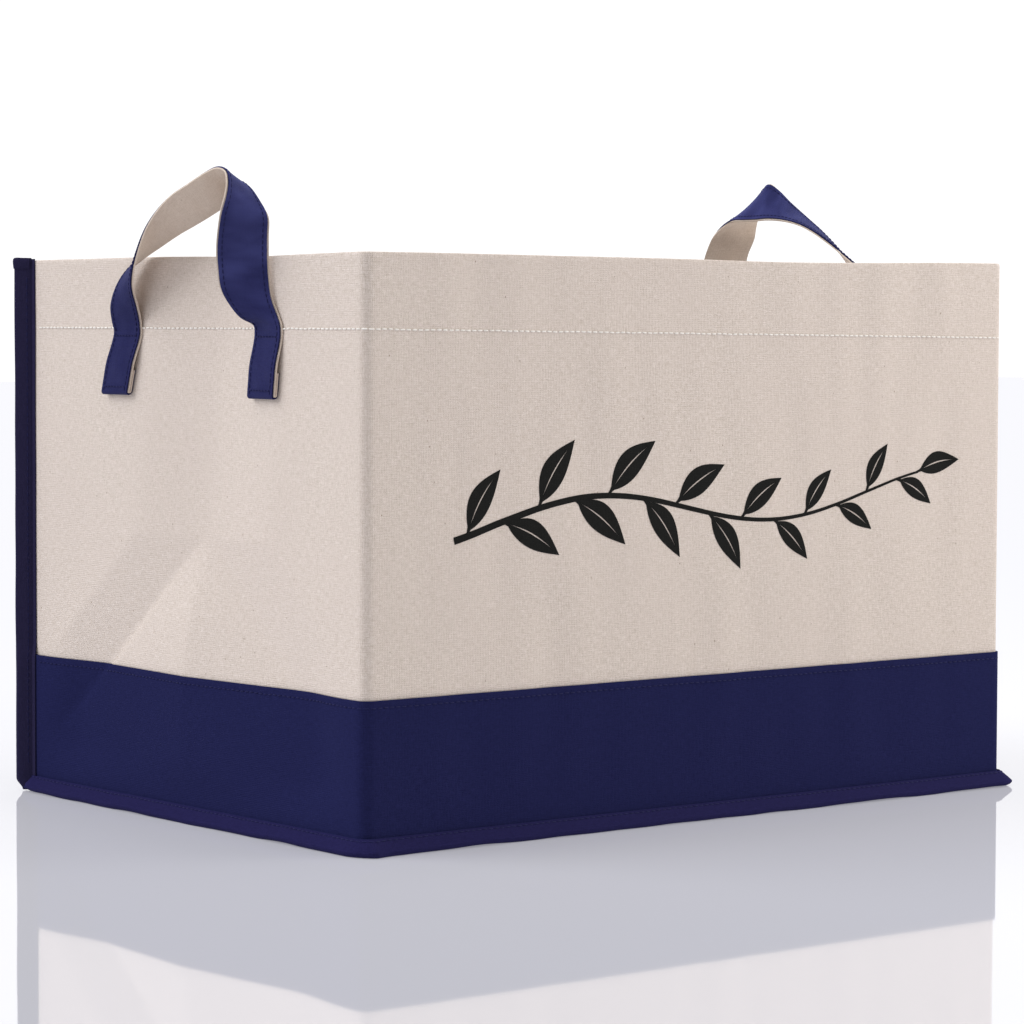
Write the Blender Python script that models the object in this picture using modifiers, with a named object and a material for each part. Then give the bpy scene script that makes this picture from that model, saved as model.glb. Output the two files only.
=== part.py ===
"""Fabric storage bin: canvas box with a dark band round its foot, two strap handles and a base board.

Metres, +Z up. The origin is the middle of the footprint on the ground, the front faces -Y and the
handles are on the left (-X) and right (+X) ends. Run it in Blender's text editor or with
blender --background --python part.py
"""
import math

import bmesh
import bpy
from mathutils import Matrix, Vector

# Driving dimensions of the bin: outer faces of the canvas, and the heights of its edges and seams
BIN_WIDTH = 0.432
BIN_DEPTH = 0.303
BIN_HEIGHT = 0.286
BAND_TOP = 0.074
BAND_LAP = 0.015
HEM_DEPTH = 0.040
HEM_STITCH = 0.038
CORNER_RADIUS = 0.005
CORNER_STEPS = 4

# Plies: canvas, strap webbing, binding tape, sewing thread, and the gap left between touching pieces
CANVAS = 0.0009
STRAP_PLY = 0.0007
TAPE = 0.0006
THREAD_RADIUS = 0.00035
GAP = 0.0003
PLY_PITCH = CANVAS + GAP
STRAP_PITCH = STRAP_PLY + GAP
THREAD_LIFT = GAP + THREAD_RADIUS

# Seams: the fin of each seam stands outside the bin and is bound in tape
CORNER_FIN = 0.0090
CORNER_FIN_FOOT = 0.0105
BASE_FIN = 0.0088
BASE_SEAM = 0.0084
FIN_TIP_RADIUS = 0.002
FLANGE_TRIM = 0.0052
TAPE_START = 0.0012
TAPE_CHAMFER = 0.00045
TAPE_RISE = 0.0045
BASE_RISE = 0.009
STITCH_FROM_SEAM = 0.0025
STITCH_FROM_EDGE = 0.0035
STITCH_END = 0.008

# Handles: 1 inch straps, dark outside and natural inside, sewn down below the hem stitching
STRAP_WIDTH = 0.024
LINING_WIDTH = 0.0256
TAB_TOP = 0.2468
TAB_FOOT = 0.2155
TAB_TURN_UP = 0.0128
TAB_STEP = 0.0060
TAB_STITCH_INSET = 0.003
STRAP_STEPS = 3

# Base board in its sleeve, lying loose on the base
BOARD_LENGTH = 0.4076
BOARD_DEPTH = 0.280
BOARD_THICKNESS = 0.003
BOARD_CORNER = 0.004

# Print on the front: a leafy sprig
PRINT_LEFT = -0.163
PRINT_RIGHT = 0.150
PRINT_HEIGHT = 0.160
PRINT_WAVE = 0.010
PRINT_INK = 0.0002
LEAF_PAIRS = 7
LEAF_LENGTH = 0.041
LEAF_HALF_WIDTH = 0.0072

# Middle surface of the canvas, from which the other plies are offset outward (u)
WALL_X = BIN_WIDTH / 2 - CANVAS / 2
WALL_Y = BIN_DEPTH / 2 - CANVAS / 2
BAND_U = PLY_PITCH
CANVAS_FOOT = BAND_TOP - BAND_LAP
FIN_OFFSET = PLY_PITCH / 2
DIAGONAL = math.sqrt(0.5)

# Edges of each strap's free loop, as rulings across the strap in millimetres: (outward, back, up)
# on the edge near the wall at the top of the loop, then on its outer edge. The right loop is listed
# as it looks when the bin is turned half round; it is set wider and folds over at its top.
LEFT_LOOP = (
    ((1.65, -83.3, 249.2), (1.65, -59.3, 249.2)),
    ((1.9, -83.0, 252.5), (3.2, -59.6, 252.3)),
    ((1.8, -80.6, 257.0), (10.6, -58.4, 256.6)),
    ((1.8, -75.8, 266.0), (17.2, -57.2, 268.0)),
    ((1.8, -73.4, 280.0), (19.2, -56.8, 280.0)),
    ((1.8, -73.2, 294.0), (20.2, -57.8, 291.0)),
    ((1.2, -72.6, 304.5), (21.0, -62.0, 304.5)),
    ((0.0, -63.8, 312.6), (21.5, -67.8, 314.0)),
    ((-1.0, -54.5, 319.0), (20.5, -68.0, 321.5)),
    ((-1.0, -47.0, 321.5), (18.8, -63.0, 327.0)),
    ((-0.5, -40.0, 318.0), (19.2, -55.0, 328.4)),
    ((0.0, -32.5, 311.5), (20.5, -45.5, 325.4)),
    ((0.0, -21.0, 307.2), (21.5, -33.0, 320.6)),
    ((0.0, -7.5, 303.0), (22.0, -18.5, 315.2)),
    ((0.2, 8.0, 298.3), (22.0, -5.5, 308.0)),
    ((0.8, 23.5, 292.5), (21.5, 6.0, 299.0)),
    ((2.4, 38.0, 286.2), (19.5, 17.0, 288.0)),
    ((5.2, 49.0, 279.0), (16.5, 26.0, 278.5)),
    ((7.0, 55.5, 271.0), (13.0, 32.0, 270.0)),
    ((6.6, 61.4, 262.0), (7.0, 37.6, 261.5)),
    ((3.8, 65.2, 254.5), (3.0, 41.2, 254.5)),
    ((1.65, 66.2, 249.2), (1.65, 42.2, 249.2)),
)
RIGHT_LOOP = (
    ((1.65, -90.3, 249.2), (1.65, -66.3, 249.2)),
    ((1.9, -90.6, 252.5), (3.2, -66.8, 252.3)),
    ((1.8, -92.2, 260.0), (9.5, -69.6, 259.6)),
    ((1.8, -94.2, 270.0), (16.0, -74.8, 270.0)),
    ((1.8, -95.4, 281.0), (18.4, -78.0, 280.5)),
    ((1.8, -95.0, 290.2), (18.8, -78.0, 290.2)),
    ((1.8, -92.9, 296.2), (19.0, -76.2, 296.2)),
    ((1.5, -87.7, 304.5), (20.5, -73.0, 304.6)),
    ((1.0, -81.8, 309.7), (22.4, -73.6, 312.8)),
    ((0.5, -74.2, 313.6), (21.4, -69.2, 323.0)),
    ((0.0, -68.0, 315.1), (17.4, -61.8, 330.5)),
    ((-0.5, -59.9, 315.0), (12.4, -53.4, 334.8)),
    ((-1.0, -48.9, 315.0), (11.2, -47.8, 335.4)),
    ((-1.0, -36.7, 315.4), (14.5, -43.6, 331.6)),
    ((0.0, -24.1, 314.4), (17.1, -37.0, 324.9)),
    ((1.0, -11.5, 311.6), (19.4, -25.9, 316.3)),
    ((2.5, -0.4, 306.7), (21.3, -15.1, 308.2)),
    ((4.5, 11.8, 299.3), (22.4, -3.6, 298.8)),
    ((5.6, 23.5, 291.7), (22.0, 6.2, 290.4)),
    ((6.4, 36.0, 283.6), (19.6, 16.4, 281.0)),
    ((7.2, 48.0, 274.5), (15.4, 26.0, 272.0)),
    ((6.6, 58.0, 265.0), (10.0, 34.2, 263.5)),
    ((3.6, 64.8, 255.2), (3.6, 40.8, 254.8)),
    ((1.65, 66.2, 249.2), (1.65, 42.2, 249.2)),
)
# Middle of each sewn-down end at its top, and how far it leans back per metre of height going down
TAB_FRONT = (-0.0713, 0.12)
TAB_BACK = (0.0542, 0.28)
HINGE_U = 0.002
HINGE_Z = 0.248
# The right loop's back end is sewn this much further back
WIDER_SET = 0.007

NATURAL = ((0.66, 0.58, 0.50, 1.0), 0.90)
NAVY = ((0.012, 0.012, 0.058, 1.0), 0.85)
CREAM = ((0.78, 0.72, 0.62, 1.0), 0.70)
NAVY_THREAD = ((0.014, 0.014, 0.058, 1.0), 0.70)
INK = ((0.012, 0.012, 0.011, 1.0), 0.75)
FIBREBOARD = ((0.30, 0.20, 0.12, 1.0), 0.80)


def clear_scene():
    for item in list(bpy.data.objects):
        bpy.data.objects.remove(item, do_unlink=True)


def new_collection(name):
    collection = bpy.data.collections.new(name)
    bpy.context.scene.collection.children.link(collection)
    return collection


def new_material(name, look):
    colour, roughness = look
    material = bpy.data.materials.new(name)
    material.use_nodes = True
    shader = material.node_tree.nodes["Principled BSDF"]
    shader.inputs["Base Color"].default_value = colour
    shader.inputs["Roughness"].default_value = roughness
    shader.inputs["Metallic"].default_value = 0.0
    material.diffuse_color = colour
    return material


def add_object(name, data, look, origin=(0.0, 0.0, 0.0)):
    """Place mesh or curve data made in world coordinates, with its origin at the given point."""
    data.transform(Matrix.Translation(-Vector(origin)))
    data.materials.append(new_material(name, look))
    item = bpy.data.objects.new(name, data)
    item.location = origin
    BIN.objects.link(item)
    return item


def skin(name, rows, thickness, look, closed=False, cap=False, twisted=False, origin=(0.0, 0.0, 0.0)):
    """Surface through rows of points, thickened evenly to both sides; None marks a missing point.

    A twisted surface is split into triangles, so that plies laid on each other fold alike.
    """
    mesh = bpy.data.meshes.new(name)
    work = bmesh.new()
    grid = [[None if point is None else work.verts.new(point) for point in row] for row in rows]
    columns = len(rows[0])
    spans = columns if closed else columns - 1
    for upper, lower in zip(grid, grid[1:]):
        for i in range(spans):
            corners = (upper[i], lower[i], lower[(i + 1) % columns], upper[(i + 1) % columns])
            if None in corners:
                continue
            if twisted:
                work.faces.new(corners[:3])
                work.faces.new((corners[0], corners[2], corners[3]))
            else:
                work.faces.new(corners)
    if cap:
        work.faces.new(grid[-1])
    bmesh.ops.recalc_face_normals(work, faces=work.faces)
    work.to_mesh(mesh)
    work.free()
    item = add_object(name, mesh, look, origin)
    shell = item.modifiers.new("ply", "SOLIDIFY")
    shell.thickness = thickness
    shell.offset = 0.0
    shell.use_even_offset = True
    return item


def thread(name, points, look, cyclic=False):
    """Sewing thread as one fine round line."""
    curve = bpy.data.curves.new(name, "CURVE")
    curve.dimensions = "3D"
    curve.bevel_depth = THREAD_RADIUS
    curve.bevel_resolution = 1
    curve.use_fill_caps = True
    line = curve.splines.new("POLY")
    line.points.add(len(points) - 1)
    for slot, point in zip(line.points, points):
        slot.co = (*point, 1.0)
    line.use_cyclic_u = cyclic
    return add_object(name, curve, look)


def arc(x, y, radius, start, sweep, steps=CORNER_STEPS):
    """Points of an arc in plan, angles in degrees."""
    turns = [math.radians(start + sweep * i / steps) for i in range(steps + 1)]
    return [(x + radius * math.cos(turn), y + radius * math.sin(turn)) for turn in turns]


def wrap_path(u, radius, back_end):
    """Plan of a ply on the front and both ends, offset u outward, ending at y = back_end."""
    x, y = WALL_X + u, WALL_Y + u
    left = arc(radius - x, radius - y, radius, 180, 90)
    right = arc(x - radius, radius - y, radius, 270, 90)
    return [(-x, back_end)] + left + right + [(x, back_end)]


def ring_path(u, radius):
    """Plan of a full ring round the bin, offset u outward."""
    x, y = WALL_X + u - radius, WALL_Y + u - radius
    corners = ((-x, -y, 180), (x, -y, 270), (x, y, 0), (-x, y, 90))
    return [point for cx, cy, start in corners for point in arc(cx, cy, radius, start, 90)]


def fin_point(s, p, side=-1):
    """Plan point at s along the back corner's diagonal and p across it, towards the end wall."""
    return (side * (WALL_X + (s + p) * DIAGONAL), WALL_Y + (s - p) * DIAGONAL)


def at_height(path, z):
    return [None if point is None else (*point, z) for point in path]


def fold_rows(path_at):
    """Rows over the rim: the ply turns inward and hangs inside as the hem."""
    radius = PLY_PITCH / 2
    top = BIN_HEIGHT - CANVAS / 2 - radius
    rows = []
    for turn in (0.0, math.pi / 3, 2 * math.pi / 3, math.pi):
        u = radius * (math.cos(turn) - 1)
        rows.append(at_height([None] + path_at(u) + [None], top + radius * math.sin(turn)))
    rows.append(at_height([None] + path_at(-PLY_PITCH) + [None], BIN_HEIGHT - HEM_DEPTH))
    return rows


def wrap_wall_end(u):
    """Where a ply on the end wall turns out into the corner fin, or where its hem stops inside."""
    if u < 0:
        return WALL_Y - FIN_OFFSET * math.sqrt(2) + u
    return WALL_Y + u - math.sqrt(2) * (FIN_OFFSET + u)


def canvas_wall(name, path_at, tips):
    """Canvas wall from inside the band's lap up to the rim and down again as the hem."""
    wall = [tips[0]] + path_at(0.0) + [tips[1]]
    folded = fold_rows(path_at)
    top = folded[0][1][2]
    rows = [at_height(wall, CANVAS_FOOT), at_height(wall, top)] + folded[1:]
    skin(name, rows, CANVAS, NATURAL)


def band_wall(name, path, foot_path, flange, tips):
    """Band from its top edge down the wall, with fins at the back corners and a flange at the foot."""
    wall = [tips[0]] + path + [tips[1]]
    tip_u = BAND_U + BASE_FIN * DIAGONAL
    rows = [
        at_height(wall, BAND_TOP),
        at_height(wall, CORNER_FIN_FOOT),
        at_height([None] + foot_path + [None], BASE_SEAM),
        at_height([None] + flange(tip_u) + [None], BASE_SEAM - BASE_FIN * DIAGONAL),
    ]
    skin(name, rows, CANVAS, NAVY)


def back_path(u, inset):
    """Plan of a ply on the back wall, offset u outward and ending short of the corners."""
    x = WALL_X - inset
    return [(-x, WALL_Y + u), (x, WALL_Y + u)]


def build_walls():
    canvas_p = FIN_OFFSET
    band_p = FIN_OFFSET + PLY_PITCH
    band_radius = CORNER_RADIUS + BAND_U

    def tips(p):
        return (fin_point(CORNER_FIN, p, -1), fin_point(CORNER_FIN, p, 1))

    def wrap_at(u):
        return wrap_path(u, CORNER_RADIUS + u, wrap_wall_end(u))

    def back_at(u):
        return back_path(u, WALL_Y - wrap_wall_end(u))

    def wrap_flange(u):
        return wrap_path(u, FIN_TIP_RADIUS, WALL_Y + u - FLANGE_TRIM)

    def back_flange(u):
        return back_path(u, FLANGE_TRIM - u)

    canvas_wall("canvas_wrap", wrap_at, tips(canvas_p))
    canvas_wall("canvas_back", back_at, tips(-canvas_p))
    wrap_foot = wrap_path(BAND_U, band_radius, WALL_Y + BAND_U - FLANGE_TRIM)
    back_foot = back_path(BAND_U, FLANGE_TRIM - BAND_U)
    band_wall("band_wrap", wrap_at(BAND_U), wrap_foot, wrap_flange, tips(band_p))
    band_wall("band_back", back_at(BAND_U), back_foot, back_flange, tips(-band_p))


def seam_ring(s, p):
    """Ring at s down the base fin and p above the band's ply in it, as (plan, height)."""
    share = max(0.0, min(1.0, s / BASE_FIN))
    radius = (CORNER_RADIUS + BAND_U) * (1 - share) + FIN_TIP_RADIUS * share
    u = BAND_U + (s + p) * DIAGONAL
    return at_height(ring_path(u, radius), BASE_SEAM + (p - s) * DIAGONAL)


def build_base():
    """Base panel: flat on the ground, rising to the seam and turning down again in the fin."""
    ridge = BASE_SEAM - PLY_PITCH * math.tan(math.radians(22.5))
    rows = [
        seam_ring(BASE_FIN, -PLY_PITCH),
        at_height(ring_path(BAND_U - PLY_PITCH, CORNER_RADIUS), ridge),
        at_height(ring_path(-BASE_RISE, FIN_TIP_RADIUS), CANVAS / 2),
    ]
    skin("base_panel", rows, CANVAS, NAVY, closed=True, cap=True)
    above = CANVAS / 2 + GAP + TAPE / 2
    below = -PLY_PITCH - above
    tip = BASE_FIN + GAP + TAPE / 2
    rows = [
        seam_ring(TAPE_START, above),
        seam_ring(tip - TAPE_CHAMFER, above),
        seam_ring(tip, above - TAPE_CHAMFER),
        seam_ring(tip, below + TAPE_CHAMFER),
        seam_ring(tip - TAPE_CHAMFER, below),
        seam_ring(TAPE_START * 2, below),
    ]
    skin("base_binding", rows, TAPE, NAVY, closed=True)
    line = seam_ring(STITCH_FROM_SEAM, above + TAPE / 2 + THREAD_LIFT)
    thread("base_thread", line, NAVY_THREAD, cyclic=True)


def tape_reach(z):
    """Half the opening of the tape round the corner fin, wider over the band's plies."""
    slim = FIN_OFFSET + CANVAS / 2 + GAP + TAPE / 2
    share = min(1.0, max(0.0, (z - BAND_TOP - 0.0005) / TAPE_RISE))
    return slim + PLY_PITCH * (1 - share)


def build_corner_bindings():
    levels = (CORNER_FIN_FOOT - 0.0005, BAND_TOP + 0.0005, BAND_TOP + 0.0005 + TAPE_RISE, BIN_HEIGHT)
    tip = CORNER_FIN + GAP + TAPE / 2
    for side, word in ((-1, "left"), (1, "right")):
        rows = []
        line = []
        for z in levels:
            reach = tape_reach(z)
            profile = (
                (TAPE_START, reach),
                (tip - TAPE_CHAMFER, reach),
                (tip, reach - TAPE_CHAMFER),
                (tip, TAPE_CHAMFER - reach),
                (tip - TAPE_CHAMFER, -reach),
                (TAPE_START, -reach),
            )
            rows.append(at_height([fin_point(s, p, side) for s, p in profile], z))
            stitch = fin_point(STITCH_FROM_SEAM, reach + TAPE / 2 + THREAD_LIFT, side)
            line.append((*stitch, z))
        skin("corner_binding_" + word, rows, TAPE, NAVY)
        line[0] = (line[0][0], line[0][1], line[0][2] + STITCH_END / 2)
        line[-1] = (line[-1][0], line[-1][1], line[-1][2] - STITCH_END / 2)
        thread("corner_thread_" + word, line, NAVY_THREAD)


def build_wall_threads():
    """Topstitching along the hem and along the band's top edge."""
    lines = (
        ("hem_thread", CANVAS / 2 + THREAD_LIFT, BIN_HEIGHT - HEM_STITCH, CREAM),
        ("band_thread", BAND_U + CANVAS / 2 + THREAD_LIFT, BAND_TOP - STITCH_FROM_EDGE, NAVY_THREAD),
    )
    for name, u, z, look in lines:
        wrap = wrap_path(u, CORNER_RADIUS + u, WALL_Y - STITCH_END)
        thread(name + "_wrap", at_height(wrap, z), look)
        thread(name + "_back", at_height(back_path(u, STITCH_END), z), look)


def end_point(u, y, z, side):
    """World point outside the left (-1) or right (+1) end; the right end is the left one turned round."""
    return (side * (BIN_WIDTH / 2 + u), -side * y, z)


def layer(k):
    """Distance from the canvas to the middle of the k-th ply of a sewn-down strap end."""
    return GAP + STRAP_PLY / 2 + k * STRAP_PITCH


def turned_end(outer, inner):
    """Profile (outward, up) of one ply of a strap end: down, round the turn and up underneath."""
    middle = (layer(outer) + layer(inner)) / 2
    radius = (layer(outer) - layer(inner)) / 2
    centre = TAB_FOOT + STRAP_PLY / 2 + (layer(3) - layer(0)) / 2
    step_foot = TAB_FOOT + TAB_TURN_UP + 0.0012
    profile = [
        (layer(outer - 2), TAB_TOP),
        (layer(outer - 2), step_foot + TAB_STEP),
        (layer(outer), step_foot),
    ]
    for i in range(7):
        turn = math.pi * i / 6
        profile.append((middle + radius * math.cos(turn), centre - radius * math.sin(turn)))
    profile.append((layer(inner), TAB_FOOT + TAB_TURN_UP))
    return profile


def build_strap_ends(side, word):
    ends = (("front", "back"), ("back", "front"))
    for (y_top, lean), names in zip((TAB_FRONT, TAB_BACK), ends):
        name = "_".join((word, names[0] if side < 0 else names[1]))
        if side > 0 and y_top < 0:
            y_top -= WIDER_SET

        def across(u, z, offset, top=y_top, slope=lean):
            return end_point(u, top + slope * (TAB_TOP - z) + offset, z, side)

        for kind, outer, inner, width, look in (
            ("strap_end", 3, 0, STRAP_WIDTH, NAVY),
            ("lining_end", 2, 1, LINING_WIDTH, NATURAL),
        ):
            rows = [(across(u, z, -width / 2), across(u, z, width / 2)) for u, z in turned_end(outer, inner)]
            skin(name + "_" + kind, rows, STRAP_PLY, look)
        face = STRAP_PLY / 2 + THREAD_LIFT
        top, step_head, step_foot, foot = turned_end(3, 0)[:4]
        stitch_u = (top[0] + face, step_head[0] + face, step_foot[0] + face, foot[0] + face)
        stitch_z = (top[1] - TAB_STITCH_INSET, step_head[1], step_foot[1], foot[1] + TAB_STITCH_INSET / 2)
        reach = STRAP_WIDTH / 2 - TAB_STITCH_INSET
        down = [across(u, z, -reach) for u, z in zip(stitch_u, stitch_z)]
        up = [across(u, z, reach) for u, z in zip(stitch_u, stitch_z)]
        thread(name + "_end_thread", down + up[::-1], NAVY_THREAD, cyclic=True)


def smooth(points, steps):
    """Catmull-Rom curve through the points."""
    padded = [points[0]] + list(points) + [points[-1]]
    curve = []
    for a, b, c, d in zip(padded, padded[1:], padded[2:], padded[3:]):
        for i in range(steps):
            t = i / steps
            curve.append(0.5 * (2 * b + (c - a) * t + (2 * a - 5 * b + 4 * c - d) * t * t
                                + (3 * b - a - 3 * c + d) * t ** 3))
    curve.append(points[-1])
    return curve


def strap_edges(side):
    """Both edges of the free loop in world coordinates."""
    edges = []
    for edge in (0, 1):
        points = []
        for ruling in RIGHT_LOOP if side > 0 else LEFT_LOOP:
            u, y, z = (0.001 * value for value in ruling[edge])
            points.append(Vector(end_point(u, y, z, side)))
        edges.append(smooth(points, STRAP_STEPS))
    return edges


def loop_rows(edges, width, depth):
    """Rows across one ply of the loop, depth below the dark ply on its natural side."""
    scale = width / STRAP_WIDTH
    columns = []
    for share in (-1.0, -0.5, 0.0, 0.5, 1.0):
        line = [(a + b) / 2 + (b - a) / 2 * share for a, b in zip(*edges)]
        column = []
        for i, point in enumerate(line):
            along = line[min(i + 1, len(line) - 1)] - line[max(i - 1, 0)]
            across = edges[1][i] - edges[0][i]
            normal = along.cross(across).normalized()
            column.append(point + across / 2 * share * (scale - 1) - normal * depth)
        columns.append(column)
    return list(zip(*columns))


def build_handles():
    for side, word in ((-1, "left"), (1, "right")):
        build_strap_ends(side, word)
        edges = strap_edges(side)
        hinge = end_point(HINGE_U, 0.0, HINGE_Z, side)
        plies = (("strap", STRAP_WIDTH, 0.0, NAVY), ("lining", LINING_WIDTH, STRAP_PITCH, NATURAL))
        for kind, width, depth, look in plies:
            rows = loop_rows(edges, width, depth)
            skin(word + "_handle_" + kind, rows, STRAP_PLY, look, twisted=True, origin=hinge)


def plate(name, low, high, corner):
    """Flat plate between two corner points, its upright edges rounded."""
    mesh = bpy.data.meshes.new(name)
    work = bmesh.new()
    bmesh.ops.create_cube(work, size=1.0)
    size = Vector(high) - Vector(low)
    bmesh.ops.scale(work, vec=size, verts=work.verts)
    bmesh.ops.translate(work, vec=(Vector(high) + Vector(low)) / 2, verts=work.verts)
    if corner:
        upright = [e for e in work.edges if abs(e.verts[0].co.z - e.verts[1].co.z) > size.z / 2]
        bmesh.ops.bevel(work, geom=upright, offset=corner, segments=4, profile=0.5, affect="EDGES")
    work.to_mesh(mesh)
    work.free()
    return mesh


def build_board():
    """Base board in a sleeve that is open at its right end."""
    seat = CANVAS + GAP
    left = -BOARD_LENGTH / 2
    floor = seat + PLY_PITCH
    low = (left, -BOARD_DEPTH / 2, floor)
    high = (BOARD_LENGTH / 2, BOARD_DEPTH / 2, floor + BOARD_THICKNESS)
    origin = (0.0, 0.0, seat)
    add_object("base_board", plate("base_board", low, high, BOARD_CORNER), FIBREBOARD, origin)
    wrap = Vector((PLY_PITCH, PLY_PITCH, PLY_PITCH))
    room = Vector((GAP, GAP, GAP))
    cover = plate("base_board_cover", Vector(low) - wrap, Vector(high) + wrap, BOARD_CORNER + PLY_PITCH)
    sleeve = add_object("base_board_cover", cover, NATURAL, origin)
    mouth = Vector((2 * PLY_PITCH, 0.0, 0.0))
    cavity = plate("cover_cavity", Vector(low) - room, Vector(high) + room + mouth, 0.0)
    cavity.transform(Matrix.Translation(-Vector(origin)))
    cutter = bpy.data.objects.new("cover_cavity", cavity)
    cutter.location = origin
    cutter.hide_render = True
    cutter.display_type = "WIRE"
    CUTTERS.objects.link(cutter)
    cut = sleeve.modifiers.new("cavity", "BOOLEAN")
    cut.operation = "DIFFERENCE"
    cut.solver = "EXACT"
    cut.object = cutter


def stem_point(t):
    """Point of the sprig's stem in the plane of the print, t from 0 to 1."""
    x = PRINT_LEFT + (PRINT_RIGHT - PRINT_LEFT) * t
    return Vector((x, PRINT_HEIGHT + PRINT_WAVE * math.sin(2 * math.pi * (t * 1.25 - 0.1)) + 0.012 * (t - 0.5)))


def leaf_outline(base, direction, length, half_width, stalk):
    """Almond leaf on a short stalk: up one side to the tip and back down the other."""
    across = Vector((-direction.y, direction.x))
    sides = []
    for sign in (-1, 1):
        side = [base + across * stalk * sign]
        for share in (0.12, 0.24, 0.38, 0.52, 0.66, 0.80, 0.92):
            swell = math.sin(math.pi * ((share - 0.08) / 0.92) ** 0.85)
            width = max(stalk * (1 - share), half_width * swell)
            side.append(base + direction * length * share + across * width * sign)
        sides.append(side)
    return sides[0] + [base + direction * length] + sides[1][::-1]


def stem_edge(sign):
    """One edge of the stem from left to right, with a leaf growing from it at regular places."""
    steps = 6 * LEAF_PAIRS
    points = []
    for i in range(steps + 1):
        t = i / steps
        here = stem_point(t)
        along = (stem_point(t + 0.01) - stem_point(t - 0.01)).normalized()
        across = Vector((-along.y, along.x)) * sign
        edge = here + across * (0.0007 + 0.0016 * (1 - t))
        if i % 6 == (1 if sign > 0 else 4):
            size = 0.72 + 0.28 * math.sin(math.pi * min(1.0, t + 0.25))
            turn = math.radians(42) * sign
            direction = Vector((along.x * math.cos(turn) - along.y * math.sin(turn),
                                along.x * math.sin(turn) + along.y * math.cos(turn)))
            leaf = leaf_outline(edge, direction, LEAF_LENGTH * size, LEAF_HALF_WIDTH * size, 0.0008)
            points += leaf[::-1] if sign > 0 else leaf
        else:
            points.append(edge)
    return points


def build_print():
    along = (stem_point(1.0) - stem_point(0.99)).normalized()
    end = leaf_outline(stem_point(1.0), along, LEAF_LENGTH * 0.8, LEAF_HALF_WIDTH * 0.8, 0.0007)
    outline = stem_edge(-1)[:-1] + end + stem_edge(1)[:-1][::-1]
    curve = bpy.data.curves.new("front_print", "CURVE")
    curve.dimensions = "2D"
    curve.fill_mode = "BOTH"
    curve.extrude = PRINT_INK / 2
    line = curve.splines.new("POLY")
    line.points.add(len(outline) - 1)
    for slot, point in zip(line.points, outline):
        slot.co = (point.x, point.y, 0.0, 1.0)
    line.use_cyclic_u = True
    item = add_object("front_print", curve, INK)
    item.rotation_euler = (math.pi / 2, 0.0, 0.0)
    item.location = (0.0, -(BIN_DEPTH / 2 + GAP + PRINT_INK / 2), 0.0)


clear_scene()
BIN = new_collection("fabric_storage_bin")
CUTTERS = new_collection("cutters")
build_walls()
build_base()
build_corner_bindings()
build_wall_threads()
build_handles()
build_board()
build_print()
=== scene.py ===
"""Looks of the fabric storage bin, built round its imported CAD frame.

Metres, +Z up, as in the frame: the front faces -Y and the handles are on the -X and +X ends.
Every cloth piece is a fine grid laid where its CAD solid is, then thickened to one ply.
"""
import math

import bpy
import numpy as np
from mathutils import Matrix, Vector, noise


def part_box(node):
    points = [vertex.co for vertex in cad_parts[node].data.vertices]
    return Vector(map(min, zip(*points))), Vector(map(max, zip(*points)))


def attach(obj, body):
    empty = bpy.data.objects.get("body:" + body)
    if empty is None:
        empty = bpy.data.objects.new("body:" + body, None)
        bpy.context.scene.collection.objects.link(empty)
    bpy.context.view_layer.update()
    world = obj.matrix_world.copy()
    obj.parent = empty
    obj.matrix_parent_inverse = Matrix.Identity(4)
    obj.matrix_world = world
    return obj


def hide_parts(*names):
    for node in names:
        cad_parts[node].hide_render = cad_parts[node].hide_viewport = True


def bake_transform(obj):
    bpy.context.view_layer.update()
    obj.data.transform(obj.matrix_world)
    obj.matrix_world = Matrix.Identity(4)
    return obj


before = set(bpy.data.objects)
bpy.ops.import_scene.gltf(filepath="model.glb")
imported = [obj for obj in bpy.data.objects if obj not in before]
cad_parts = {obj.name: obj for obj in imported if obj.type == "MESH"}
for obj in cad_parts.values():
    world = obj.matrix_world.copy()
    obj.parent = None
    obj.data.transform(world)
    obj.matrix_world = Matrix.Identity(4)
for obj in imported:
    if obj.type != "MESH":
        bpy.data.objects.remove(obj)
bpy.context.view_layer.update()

# The bin, mostly as in its CAD source; the cloth's hem reaches a little lower than the CAD's, and the
# band's fin runs closer to the corner tapes
BIN_WIDTH = 0.432
BIN_DEPTH = 0.303
BIN_HEIGHT = 0.286
BAND_TOP = 0.074
BAND_LAP = 0.015
HEM_DEPTH = 0.0415
HEM_STITCH = 0.038
CORNER_RADIUS = 0.005
CANVAS = 0.0009
STRAP_PLY = 0.0007
TAPE = 0.0006
GAP = 0.0003
PLY_PITCH = CANVAS + GAP
STRAP_PITCH = STRAP_PLY + GAP
CORNER_FIN = 0.0090
CORNER_FIN_FOOT = 0.0105
BASE_FIN = 0.0088
BASE_SEAM = 0.0084
FIN_TIP_RADIUS = 0.0125
FLANGE_TRIM = 0.0012
BASE_RISE = 0.009
BASE_SAG = 0.0006
STITCH_FROM_SEAM = 0.0025
STITCH_FROM_EDGE = 0.0035
STITCH_END = 0.008
STRAP_WIDTH = 0.024
LINING_WIDTH = 0.0256
TAB_TOP = 0.2468
TAB_FOOT = 0.2155
TAB_TURN_UP = 0.0128
TAB_STITCH_INSET = 0.003
SLEEVE_PUFF = 0.00012

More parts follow.
